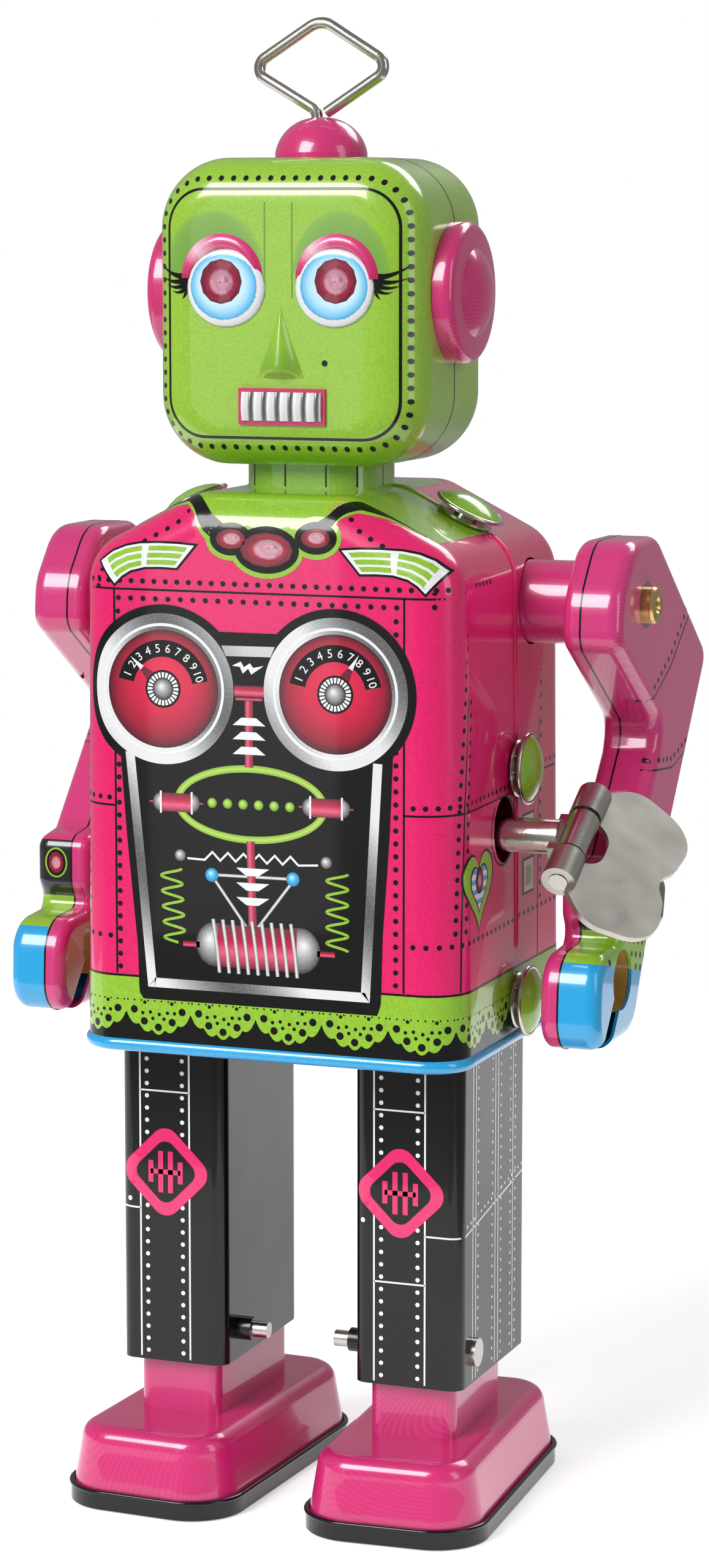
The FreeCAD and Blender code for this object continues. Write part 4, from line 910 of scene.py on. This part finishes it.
def striped(name, first, second, pitch):
    """Print in two colours that change every half pitch of height."""
    material, nodes, links, shader = finish(name, 0.26, 0.85)
    where = nodes.new("ShaderNodeTexCoord")
    bands = nodes.new("ShaderNodeTexWave")
    bands.bands_direction = "Z"
    bands.inputs["Scale"].default_value = wave_scale(pitch)
    links.new(where.outputs["Object"], bands.inputs["Vector"])
    ramp = colours(nodes, links, bands.outputs["Fac"], [(0.0, first), (0.55, second)], "CONSTANT")
    links.new(ramp.outputs["Color"], shader.inputs["Base Color"])
    wavy(nodes, links, shader, 55.0, 0.0001)
    return material


ink("heart_edge", [heart_of(1.0)], case_skin, 2, black_print)
ink("heart_band", [heart_of(0.92)], case_skin, 3, lime_print)
ink("heart_line", [heart_of(0.60)], case_skin, 4, black_print)
ink("heart_field", [heart_of(0.54)], case_skin, 5, striped("heart_stripes", WHITE, (0.03, 0.42, 0.75), 1.6))
ink("heart_stone_setting", [disc(39.2, 103.2, 1.7, 2.1, 20)], case_skin, 6, black_print)
ink("heart_stone", [disc(39.2, 103.2, 1.35, 1.7, 12, 5)], case_skin, 7, stone_print)
ink("label_edges", [block(60.6, 66.2, 104.6, 110.4), block(60.6, 66.2, 97.4, 103.2)], case_skin, 2, black_print)
ink("label_frames", [block(61.0, 65.8, 105.0, 110.0), block(61.0, 65.8, 97.8, 102.8)], case_skin, 3, white_print)
ink("label_windows", [block(62.0, 64.8, 106.0, 109.0), block(62.0, 64.8, 98.8, 101.8)], case_skin, 4, lime_print)

# ------------------------------------------------------------------ base plate, buttons and case fittings
# The base is plain tin plate. Each of the six buttons is a domed lime cap with a rolled nickel
# edge, held through the seam by a folded strap.


def metal(name, colour, gloss, marks=0.00003):
    """Bare or plated metal: the gloss is broken by fine scratches and cloudy handling marks."""
    material, nodes, links, shader = finish(name, gloss, 0.0, 1.0)
    cloud = noise(nodes, links, 120.0, 4.0)
    ramp = colours(nodes, links, cloud.outputs["Fac"],
                   [(0.3, shade(colour, 0.9)), (0.7, shade(colour, 1.05))])
    links.new(ramp.outputs["Color"], shader.inputs["Base Color"])
    rough = nodes.new("ShaderNodeMapRange")
    rough.inputs["To Min"].default_value = gloss * 0.7
    rough.inputs["To Max"].default_value = gloss * 1.5
    links.new(cloud.outputs["Fac"], rough.inputs["Value"])
    links.new(rough.outputs["Result"], shader.inputs["Roughness"])
    wavy(nodes, links, shader, 160.0, 0.00006, 900.0, marks)
    return material


nickel = metal("nickel_plate", (0.60, 0.57, 0.52), 0.17)
satin_nickel = metal("satin_nickel", (0.58, 0.555, 0.51), 0.27, 0.000005)
brass = metal("rivet_brass", (0.72, 0.50, 0.20), 0.25)
dull_tin = metal("base_tin", (0.55, 0.55, 0.54), 0.42)
spring_steel = metal("spring_steel", (0.22, 0.23, 0.26), 0.28)
frame_steel = metal("frame_steel", (0.52, 0.53, 0.54), 0.35)
gear_brass = metal("gear_brass", (0.70, 0.52, 0.24), 0.32)
dress(dull_tin, "base_plate")
dress(spring_steel, "mainspring")
dress(frame_steel, "motor_plate_left", "motor_plate_right", "motor_pillars", "pillar_nuts", "hip_axle",
      "leg_lever_left", "leg_lever_right", "click")
dress(gear_brass, "great_wheel", "ratchet_wheel", "crank_wheel", "third_wheel", "escape_wheel")
dress(frame_steel, "crankshaft", "crank_discs", "escape_pallet", "winding_arbor")


def spun(profile, origin, axis, sides=48):
    """A turned piece: (radius, height) points carried round an axis from an origin."""
    profile = np.asarray(profile, float)
    axis = np.array(axis, float) / np.linalg.norm(axis)
    first = np.cross(axis, (0.0, 1.0, 0.0) if abs(axis[1]) < 0.9 else (1.0, 0.0, 0.0))
    first /= np.linalg.norm(first)
    second = np.cross(axis, first)
    a = np.linspace(0, 2 * math.pi, sides + 1)[None, :, None]
    radius, height = profile[:, 0, None, None], profile[:, 1, None, None]
    grid = np.array(origin) + height * axis + radius * (np.cos(a) * first + np.sin(a) * second)
    return shell_of(grid)


SLOPE = math.atan2(9.4, 18.55)
SEATS = [(side * x, 4.0, z, (side * math.sin(t), 0, math.cos(t))) for side in (1, -1)
         for x, z, t in ((22.6, 157.42, SLOPE), (31.62, 118.2, math.pi / 2), (31.92, 81.0, math.pi / 2))]
CAP = [(0, 3.65), (1.4, 3.58), (2.8, 3.3), (4.0, 2.85), (5.0, 2.25), (5.35, 1.95), (5.3, 1.75), (4.6, 1.9),
       (3.0, 2.4), (0, 2.9)]
bead_turn = np.linspace(0, 2 * math.pi, 13)
EDGE = np.stack((5.35 + 0.42 * np.cos(bead_turn), 1.85 + 0.34 * np.sin(bead_turn)), -1)
STEM = [(0, 2.6), (2.1, 2.4), (2.0, 0.6), (3.6, 0.45), (4.4, 0.5), (4.6, 0.2), (4.4, -0.05), (0, -0.05)]
caps = fresh("button_caps", *joined(*[spun(CAP, s[:3], s[3]) for s in SEATS]), lime_print, "case", "button_green")
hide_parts("seam_buttons")
fresh("button_edges", *joined(*[spun(EDGE, s[:3], s[3]) for s in SEATS]), nickel, "case", "nickel")
fresh("button_straps", *joined(*[spun(STEM, s[:3], s[3], 24) for s in SEATS]), nickel, "case", "nickel")

# ------------------------------------------------------------------ neck and head
# The neck is a slit collar and the head two drawn shells, both lime. The front of the head is
# pressed with eyes, nose and mouth in low relief and printed over them, with painted shade and highlight on the
# lids, nose and teeth.
head_lime = printed("head_lime", (0.29, 0.53, 0.035))
dress(head_lime, "neck_collar", "head_front_shell", "head_back_shell")
neck_skin = wrapped(10.75, -9.0, 9.0, 6.0)
ink("neck_slits", [ribbon([(u, 162.6), (u, 166.0)], 0.28) for u in (-15.0, -8.4, -2.6, 4.2, 9.2, 16.0)],
    neck_skin, 1, black_print, slot="green_tin")
head_rim = outline([(-22.2, 166.0, 11), (22.2, 166.0, 11), (22.2, 213.3, 11), (-22.2, 213.3, 11)])
face_skin = dished(head_rim, 7.0, lambda u, v, d: np.stack((u, -17.0 + d, v), -1))
head_edge = brim(head_rim, -17.0, 7.0)
ink("head_seam", [ribbon([(-74.0, 20.8), (74.0, 20.8)], 0.3)], head_edge, 1, black_print, slot="green_tin")


def face_ink(name, patches, layer, material, relief=None):
    """One printed colour on the face."""
    return ink(name, patches, face_skin, layer, material, slot="green_tin", relief=relief)


def frame_line(half, low, high, bend):
    """A rounded frame as a closed line."""
    points = outline([(-half, low, bend), (half, low, bend), (half, high, bend), (-half, high, bend)], 0.8)[0]
    return np.vstack((points, points[:1]))


face_ink("face_frame", [ribbon(frame_line(19.0, 170.5, 208.5, 6.0), 0.4)], 2, black_print)
face_dots = respace(frame_line(20.3, 169.0, 210.1, 7.2), 75)[:-1]
face_ink("face_dots", [disc(u, v, 0.42) for u, v in face_dots], 2, black_print)

EYES = ((-9.1, 193.4, (-1.0, 1.7)), (8.75, 193.5, (0.8, 1.8)))
green_shade = blended("green_shade", [(0.0, (0.17, 0.36, 0.05)), (0.6, (0.18, 0.38, 0.055)),
                                      (0.9, (0.21, 0.42, 0.06)), (1.0, (0.26, 0.49, 0.05))], grain=0.3)
face_ink("eye_shadows", [ring(-11.2, 195.6, (4.0, 4.0), (8.4, 9.6), 0, 180, 48, 12),
                         ring(9.6, 195.6, (4.0, 4.0), (7.9, 9.6), 0, 180, 48, 12)], 1, green_shade)
# The lids are printed pink, with painted highlight and shade: along each pressed lid the pink darkens towards both
# ends and pales to a light band near its upper left.
lid_painted_highlight = blended("lid_painted_highlight", [
    (0.0, (0.50, 0.01, 0.11)), (0.25, (0.62, 0.03, 0.16)), (0.55, (0.70, 0.06, 0.22)),
    (0.74, (0.88, 0.55, 0.64)), (0.88, (0.66, 0.05, 0.18)), (1.0, (0.45, 0.01, 0.08))], "U", grain=0.1)


def lid_relief(grid):
    """Height of an eyelid: half a wave across it."""
    return 0.55 * np.sin(math.pi * np.linspace(0, 1, grid.shape[0]))[:, None] + 0 * grid[..., 0]


face_ink("eye_lids", [ring(u, 194.9, (4.5, 4.5), (6.75, 6.8), 0, 180, 48, 10) for u in (-9.8, 9.1)],
         2, lid_painted_highlight, lid_relief)


def eye_relief(grid):
    """Height of an eye: a rounded rim that dips slightly towards the pupil."""
    share = np.linspace(0, 1, grid.shape[0])[:, None] + 0 * grid[..., 0]
    return 0.62 * np.sqrt(np.clip(1 - share ** 6, 0, 1)) + 0.35 * share ** 2 * (1 - share ** 4)


def pupil_relief(grid):
    """Height of a pupil: it stands on the eye and rises towards its middle."""
    return 0.72 + 0.25 * (1 - np.linspace(0, 1, grid.shape[0])[:, None]) + 0 * grid[..., 0]


eye_print = blended("eye_print", [
    (0.0, (0.10, 0.0, 0.02)), (0.50, (0.66, 0.84, 0.92)), (0.64, (0.42, 0.73, 0.90)),
    (0.80, (0.14, 0.52, 0.84)), (0.84, (0.07, 0.38, 0.68)), (0.86, (0.82, 0.83, 0.84)),
    (0.97, (0.74, 0.75, 0.78)), (1.0, (0.30, 0.38, 0.20))], grain=0.05)
face_ink("eyes", [disc(u, v, 6.45, 6.0, 64, 26, glint) for u, v, glint in EYES], 3, eye_print, eye_relief)
pupils = [disc(u + g[0] * 0.55, v + g[1] * 0.6, 3.45, 3.45, 12, 6, (0.2, -0.2)) for u, v, g in EYES]
face_ink("eye_stones", pupils, 3.4, faceted("eye_stone", (0.40, 0.01, 0.06), (0.80, 0.36, 0.48)),
         pupil_relief)


def lash(base, bend, tip, width):
    """A lash: a curve from its root through a bend to a point."""
    t = np.linspace(0, 1, 12)[:, None]
    line = np.array(base) * (1 - t) ** 2 + 2 * np.array(bend) * t * (1 - t) + np.array(tip) * t ** 2
    return ribbon(line, width, taper=0.03)


LASHES = (((-15.2, 195.3), (-17.6, 194.6), (-20.9, 197.0), 1.2),
          ((-15.2, 194.7), (-18.0, 193.8), (-20.4, 195.0), 1.1),
          ((-15.3, 194.2), (-17.4, 192.9), (-19.5, 193.9), 1.0),
          ((-15.4, 193.7), (-16.8, 192.2), (-18.3, 192.9), 0.9),
          ((-15.5, 193.6), (-15.8, 192.3), (-16.5, 191.7), 0.9))
lashes = [lash(*each) for each in LASHES]
lashes += [lash(*[(-x - 0.35, z + 0.1) for x, z in each[:3]], each[3]) for each in LASHES]
face_ink("eye_lashes", lashes, 2.6, black_print)

nose_rows, nose_cols = np.linspace(0, 1, 30)[:, None], np.linspace(-1, 1, 25)[None, :]
nose = np.stack(((-0.1 + 3.9 * nose_rows ** 1.1 * nose_cols), 190.6 - 10.9 * nose_rows + 0 * nose_cols), -1)


def nose_relief(grid):
    """Height of the nose: a ridge that grows down to its foot and is rounded off there."""
    rows, cols = np.linspace(0, 1, grid.shape[0])[:, None], np.linspace(-1, 1, grid.shape[1])[None, :]
    foot = np.clip((1 - rows) / 0.16, 0, 1)
    return 2.3 * rows ** 0.9 * (1 - cols ** 2) ** 1.3 * np.sin(foot * math.pi / 2)


def mouth_relief(grid):
    """Height of the mouth's frame: the same all over."""
    return 0.35 + 0 * grid[..., 0]


# Painted shade: the nose's lime darkens in a band just above its foot, where the pressed ridge rolls under.
face_ink("nose", [nose], 0.5, blended("nose_shade", [
    (0.0, (0.29, 0.53, 0.04)), (0.5, (0.27, 0.51, 0.035)), (0.82, (0.19, 0.39, 0.025)),
    (0.92, (0.24, 0.44, 0.03)), (1.0, (0.29, 0.53, 0.04))], grain=0.2), nose_relief)
face_ink("mouth_frame", [block(-7.0, 7.3, 172.6, 178.2)], 3, printed("mouth_magenta", (0.55, 0.004, 0.10)),
         mouth_relief)
TOOTH = 2.17                          # width of one printed tooth
teeth_u, teeth_v = np.meshgrid(np.linspace(-6.3, 6.7, 120), np.linspace(173.2, 177.6, 12))
# Painted shade: the white teeth darken to near black in the valleys between the pressed ridges, one dark band for
# each tooth.
teeth_valley_shade = blended("teeth_valley_shade", [(0.0, WHITE), (1.0, WHITE)], "U")
teeth_nodes, teeth_links = teeth_valley_shade.node_tree.nodes, teeth_valley_shade.node_tree.links
ridge = teeth_nodes.new("ShaderNodeTexWave")
ridge.bands_direction = "X"
ridge.inputs["Scale"].default_value = wave_scale(TOOTH)
ridge.inputs["Phase Offset"].default_value = 1.2
teeth_where = teeth_nodes.new("ShaderNodeTexCoord")
teeth_links.new(teeth_where.outputs["Object"], ridge.inputs["Vector"])
teeth_shade_ramp = colours(teeth_nodes, teeth_links, ridge.outputs["Fac"],
                     [(0.0, (0.07, 0.07, 0.07)), (0.35, (0.30, 0.30, 0.30)), (0.55, WHITE)])
teeth_links.new(teeth_shade_ramp.outputs["Color"], teeth_nodes["Principled BSDF"].inputs["Base Color"])


def teeth_relief(grid):
    """Height of the teeth: a ripple along the row, over a bulge across it."""
    ripple = 0.16 * np.cos((grid[..., 0] - 0.4) * 2 * math.pi / TOOTH)
    return 0.55 + ripple + 0.35 * np.sin(np.clip((grid[..., 1] - 173.2) / 4.4, 0, 1) * math.pi)


face_ink("teeth", [np.stack((teeth_u, teeth_v), -1)], 3.5, teeth_valley_shade, teeth_relief)
face_ink("beauty_spot", [disc(7.1, 182.1, 0.48, sides=16)], 2, black_print)
face_ink("brow_lines", [ribbon([(u, 206.5), (u, 192.0)], 0.22) for u in (-2.75, 1.75)],
         1.5, printed("brow_green", (0.13, 0.30, 0.03)))

# ears, dome and antenna
ear_pink = moire("ear_pink", (0.62, 0.025, 0.17))
dress(ear_pink, "ear_cap_left", "ear_cap_right", "antenna_dome")
dress(nickel, "antenna_wire")

# ------------------------------------------------------------------ arms
# Each arm is two pressed shells spot-joined edge to edge round a rivet. The outer one is printed
# down to the wrist: pink, a black bracelet with stones, a lime cuff and a blue hand.
ARM = [(19.5, 154.2, 5.0), (5.5, 154.2, 8.0), (-1.6, 146.0, 8.0), (-2.3, 138.6, 4.0), (20.6, 124.0, 3.2),
       (19.2, 120.0, 3.0), (5.4, 104.6, 2.0), (-1.4, 103.6, 2.6), (-1.4, 95.8, 2.6), (0.8, 92.0, 1.4),
       (-11.6, 91.2, 6.0), (-12.4, 76.0, 5.5), (8.5, 76.2, 7.0), (15.6, 90.0, 3.0), (24.6, 90.4, 2.8),
       (26.4, 97.6, 2.8), (23.0, 100.4, 2.2), (48.6, 132.9, 3.6)]
ARM_PINK = (0.62, 0.032, 0.19)


def sleeve_print(name):
    """Arm print: constant bands of colour by height, the uppermost over a fine screen.

    The height is z + 0.22 y, counted in spans of 40 mm from a start at 80 mm.
    """
    material = moire(name, ARM_PINK)
    nodes, links = material.node_tree.nodes, material.node_tree.links
    where = nodes.new("ShaderNodeTexCoord")
    wrist = nodes.new("ShaderNodeVectorMath")
    wrist.operation = "DOT_PRODUCT"
    wrist.inputs[1].default_value = (0.0, 0.22 / 0.04, 1.0 / 0.04)
    links.new(where.outputs["Object"], wrist.inputs[0])
    level = nodes.new("ShaderNodeMath")
    level.operation = "SUBTRACT"
    links.new(wrist.outputs["Value"], level.inputs[0])
    level.inputs[1].default_value = 2.0
    place = [(c - 80.0) / 40.0 for c in (88.0, 93.6, 102.9)]
    bands = colours(nodes, links, level.outputs[0],
                    [(0.0, BLUE), (place[0], LIME), (place[1], BLACK), (place[2], ARM_PINK)], "CONSTANT")
    above = colours(nodes, links, level.outputs[0], [(0.0, (0, 0, 0)), (place[2], (1, 1, 1))], "CONSTANT")
    mix = nodes.new("ShaderNodeMix")
    mix.data_type = "RGBA"
    screen = nodes["Color Ramp"]
    shader = nodes["Principled BSDF"]
    links.new(above.outputs["Color"], mix.inputs["Factor"])
    links.new(bands.outputs["Color"], mix.inputs["A"])
    links.new(screen.outputs["Color"], mix.inputs["B"])
    links.new(mix.outputs["Result"], shader.inputs["Base Color"])
    return material


def within(rim, spot, margin):
    """True where a spot lies inside an outline by more than a margin."""
    points, out, _ = rim
    near = np.argmin(np.linalg.norm(points - spot, axis=1))
    return float((points[near] - spot) @ out[near]) > margin


arm_print = sleeve_print("arm_print")
arm_inside = moire("arm_pink", ARM_PINK)
arm_rim = outline(ARM)
RIVET_AT, CLAW_AT = (12.0, 143.9), (1.0, 86.0)
GEMS = ((3.2, 98.4), (10.6, 96.8), (18.0, 95.2))
EYELET = [(1.0, 1.5), (1.3, 1.9), (2.0, 2.05), (2.7, 1.8), (2.95, 1.3), (2.8, 0.9), (1.2, 0.9), (1.0, 1.5)]


def forearm_front(hand):
    """Skin of the forearm's front edge, a plane that faces -Y."""
    def skin(u, z):
        level = 0 * u
        return np.stack((hand * u, level - 1.4, z), -1), np.stack((level, level - 1, level), -1)
    return skin


for side, hand in (("left", 1.0), ("right", -1.0)):
    body = f"arm_{side}"
    dress(arm_print, f"arm_outer_shell_{side}")
    dress(arm_inside, f"arm_inner_shell_{side}", f"shoulder_sleeve_{side}")
    dress(frame_steel, f"shoulder_washer_{side}")
    dress(brass, f"shoulder_rivet_{side}")
    arm_skin = dished(arm_rim, 2.2, lambda u, v, d, h=hand: np.stack((h * (50.0 - d), u, v), -1))
    fresh(f"rivet_eyelet_{side}", *spun(EYELET, (hand * 50.0, *RIVET_AT), (hand, 0, 0)), brass, body,
          "rivet_brass")
    ink(f"rivet_shadow_{side}", [ring(*RIVET_AT, (2.9, 2.9), (3.7, 3.7))], arm_skin, 1,
        printed(f"rivet_shadow_pink_{side}", (0.16, 0.002, 0.04)), body)
    arm_lines = [[(36.0, 140.0), (26.0, 132.8), (16.5, 128.6), (13.0, 128.2)],
                 [(36.5, 118.4), (27.0, 116.2), (16.4, 117.0)]]
    ink(f"arm_lines_{side}", [ribbon(line, 0.3) for line in arm_lines], arm_skin, 1, black_print, body)
    ink(f"arm_dots_{side}", dots([(35.0, 141.2), (25.4, 134.3), (17.0, 130.4)], 2.2, 0.45)
        + dots([(35.0, 119.6), (27.0, 117.6), (17.8, 118.4)], 2.2, 0.45), arm_skin, 1, black_print, body)
    for part, size, layer, part_print in (("settings", (2.9, 2.75, 24, 4), 1, lime_print),
                                          ("rims", (2.55, 2.4, 24, 4), 2, black_print),
                                          ("stones", (2.0, 1.9, 12, 5), 3, stone_print)):
        ink(f"bracelet_{part}_{side}", [disc(y, z, *size) for y, z in GEMS], arm_skin, layer,
            part_print, body)
    cuff = []
    for y in np.arange(-8.0, 24.0, 2.3):
        cuff += [disc(y, 90.6 - 0.22 * y, 0.5, sides=10), disc(y + 1.15, 92.4 - 0.22 * y, 0.4, sides=10),
                 disc(y, 88.6 - 0.22 * y, 0.55, sides=10)]
    cuff = [d for d in cuff
            if within(arm_rim, d[0, 0], 1.0) and math.hypot(*(d[0, 0] - CLAW_AT)) > 5.8]
    ink(f"cuff_holes_{side}", cuff, arm_skin, 1, black_print, body)
    for part, size, layer, part_print in (("rim", (2.0, 2.5, 24), 1, lime_print),
                                          ("setting", (1.7, 2.2, 24), 2, black_print),
                                          ("stone", (1.35, 1.8, 12, 5), 3, stone_print)):
        ink(f"bracelet_front_{part}_{side}", [disc(46.2, 99.4, *size)], forearm_front(hand), layer,
            part_print, body)
    a = np.radians(np.linspace(-130 + 24, 230 - 24, 60))
    lining = []
    for radius in (4.85, 5.15):
        y, z = CLAW_AT[0] + radius * np.cos(a), CLAW_AT[1] + radius * np.sin(a)
        lining.append(np.stack([np.stack((0 * a + hand * x, y, z), -1) for x in (41.0, 49.4)]))
    wall = np.concatenate((lining[0], lining[1][::-1], lining[0][:1]))
    wall_parts = shell_of(wall)
    caps_index = np.array([[0, 60, 120, 180], [59, 119, 179, 239]])
    fresh(f"claw_lining_{side}", wall_parts[0], np.vstack((wall_parts[1], caps_index)), wall_parts[2],
          gold_lacquer, body, "pink_tin")
    seam_line, seam_out, _ = arm_rim
    seam_grid = np.stack([np.stack((0 * seam_line[:, 0] + hand * x, *(seam_line + seam_out * lift).T), -1)
                          for x, lift in ((43.35, 0.03), (43.65, 0.03), (43.65, -0.2), (43.35, -0.2),
                                          (43.35, 0.03))])
    seam_grid = np.concatenate((seam_grid, seam_grid[:, :1]), 1)
    fresh(f"arm_seam_{side}", *shell_of(seam_grid), black_print, body, "pink_tin")

# ------------------------------------------------------------------ winding key
# A folded steel stem with a cross pin, and a stamped wing with two rounded lobes, all nickelled.
dress(nickel, "key_stem", "key_cross_pin")
dress(satin_nickel, "key_wing")
ink("key_hole_edge", [ring(50.9, 109.3, (5.3, 5.3), (5.75, 5.75), sides=40)], case_skin, 1, black_print)

# ------------------------------------------------------------------ legs
# Folded black box tubes with white seams, dots and a pink diamond grille on the front.
LEG_BEND = 2.2
SIDE_START = 9.0 - LEG_BEND + LEG_BEND * math.pi / 2 + 15.0 - LEG_BEND   # arc length where y is 0
diamond = outline([(0, -8.2, 2.6), (8.3, 0, 2.6), (0, 8.2, 2.6), (-8.3, 0, 2.6)], 0.4)[0]
BADGE_AT = np.array([-1.1, 52.7])
dress(black_print, "leg_tube_left", "leg_tube_right")


def outer(y, hand):
    """Arc length round a leg tube to the depth y on its outer side."""
    return hand * (SIDE_START + y)


for side, hand in (("left", 1.0), ("right", -1.0)):
    body = f"leg_{side}"
    leg_skin = wrapped(9.0, -15.0, 17.0, LEG_BEND, hand * 20.0)
    white = [[(-5.5, 22.0), (-5.5, 90.0)], [(3.0, 22.0), (3.0, 90.0)], [(-5.5, 65.9), (3.0, 65.9)]]
    if side == "right":
        white += [[(-9.6, 46.6), (-5.5, 46.5)]]
    else:
        white += [[(-5.5, 38.2), (3.0, 38.2)], [(3.0, 46.1), (9.0, 46.1)]]
    for y in (-9.4, -8.0, 1.4, 2.8, 10.1):
        white.append([(outer(y, hand), 22.0), (outer(y, hand), 90.0)])
    white.append([(outer(-13.0, hand), 46.1), (outer(15.3, hand), 50.7)])
    ink(f"leg_lines_{side}", [ribbon(respace(line, 24), 0.28) for line in white], leg_skin, 1,
        white_print, body, "black_tin")
    leg_dots = dots([(-4.3, 23.0), (-4.3, 89.0)], 2.0, 0.36) + dots([(1.8, 23.0), (1.8, 89.0)], 2.0, 0.36)
    for y in (-6.9, 0.0, 4.2, 8.9, 11.3):
        leg_dots += dots([(outer(y, hand), 23.0), (outer(y, hand), 89.0)], 1.7, 0.26)
    leg_dots += dots([(outer(-12.0, hand), 47.5), (outer(14.5, hand), 51.8)], 1.7, 0.26)
    leg_dots += [disc(-7.4, 47.9, 0.4)]
    ink(f"leg_dots_{side}", leg_dots, leg_skin, 1, white_print, body, "black_tin")
    ink(f"badge_{side}", [fan(diamond + BADGE_AT, BADGE_AT)], leg_skin, 2, pink_print, body, "black_tin")
    ink(f"badge_field_{side}", [fan(diamond * 0.70 + BADGE_AT, BADGE_AT)], leg_skin, 3, black_print, body,
        "black_tin")
    slots = [ribbon([BADGE_AT + (x, -h), BADGE_AT + (x, h)], 0.85)
             for x, h in ((-2.55, 1.8), (-0.85, 3.4), (0.85, 3.4), (2.55, 1.8))]
    slots += [ribbon([BADGE_AT + (-2.6, 0.0), BADGE_AT + (2.6, 0.0)], 0.8)]
    ink(f"badge_grille_{side}", slots, leg_skin, 4, pink_print, body, "black_tin")
    dress(nickel, f"ankle_pin_{side}")
    dress(black_print, f"ankle_sleeve_{side}")

# ------------------------------------------------------------------ shoes
# Each shoe is a drawn pink cover with soft top edges over a black sole pan with a rolled rim,
# and a square pink post on it carries the ankle pin.
shoe_pink = moire("shoe_pink", (0.62, 0.018, 0.16), spread=0.07, pitch=0.4)
TOE_OUT = math.radians(3.0)
shoe_rim = outline([(-14.28, -27.68, 8), (14.28, -27.68, 8), (14.28, 27.68, 8), (-14.28, 27.68, 8)], 0.6)
pan_rim = outline([(-14.8, -28.2, 8.6), (14.8, -28.2, 8.6), (14.8, 28.2, 8.6), (-14.8, 28.2, 8.6)], 0.6)


def on_foot(points, hand):
    """Turns a foot's own points by the toe-out and sets them under the leg."""
    x, y = points[..., 0], points[..., 1]
    u = 19.4 + x * math.cos(TOE_OUT) - y * math.sin(TOE_OUT)
    v = -0.5 + x * math.sin(TOE_OUT) + y * math.cos(TOE_OUT)
    return np.stack((hand * u, v, points[..., 2]), -1)


ROUND = 2.6
curl = np.linspace(0, math.pi / 2, 9)
section = [(0.0, 0.6), (0.0, 2.0), (0.35, 4.4), (0.9, 7.4)]
section += [(1.35 + ROUND * (1 - math.cos(t)), 12.7 - ROUND + ROUND * math.sin(t)) for t in curl]
section += [(4.6, 12.70), (6.2, 12.70)]
for side, hand in (("left", 1.0), ("right", -1.0)):
    body = f"foot_{side}"
    points, out, _ = shoe_rim
    rows = [np.concatenate((points - out * inset, np.full((len(points), 1), z)), 1) for inset, z in section]
    rows += [rows[-1] * (share, share, 1) for share in (0.6, 0.25, 0.0)]
    under = [np.concatenate((points - out * (inset + 0.5), np.full((len(points), 1), max(z - 0.5, 0.6))), 1)
             for inset, z in section]
    under += [under[-1] * (share, share, 1) for share in (0.6, 0.25, 0.0)]
    grid = np.array(under[::-1] + rows)
    grid = on_foot(np.concatenate((grid, grid[:, :1]), 1), hand)
    upper = fresh(f"shoe_upper_{side}", *shell_of(grid), shoe_pink, body, "pink_tin", crease=1.0)
    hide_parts(f"shoe_shell_{side}")
    dress(arm_inside, f"ankle_post_{side}")
    dress(black_print, f"sole_pan_{side}")
    points, out, _ = pan_rim
    bead_points = np.concatenate((points - out * 0.1, np.full((len(points), 1), 2.75)), 1)
    bead_points = np.vstack((bead_points, bead_points[:1]))
    bead_way = np.vstack((out, out[:1]))
    bead_grid = tube(bead_points, np.column_stack((bead_way, 0 * bead_way[:, 0])), np.array([0.0, 0.0, 1.0]), 0.42)
    fresh(f"sole_rim_{side}", *shell_of(on_foot(bead_grid, hand)), black_print, body, "black_tin")
    dress(frame_steel, f"roller_axle_{side}")
    dress(metal(f"roller_steel_{side}", (0.50, 0.50, 0.50), 0.4), f"foot_roller_{side}")
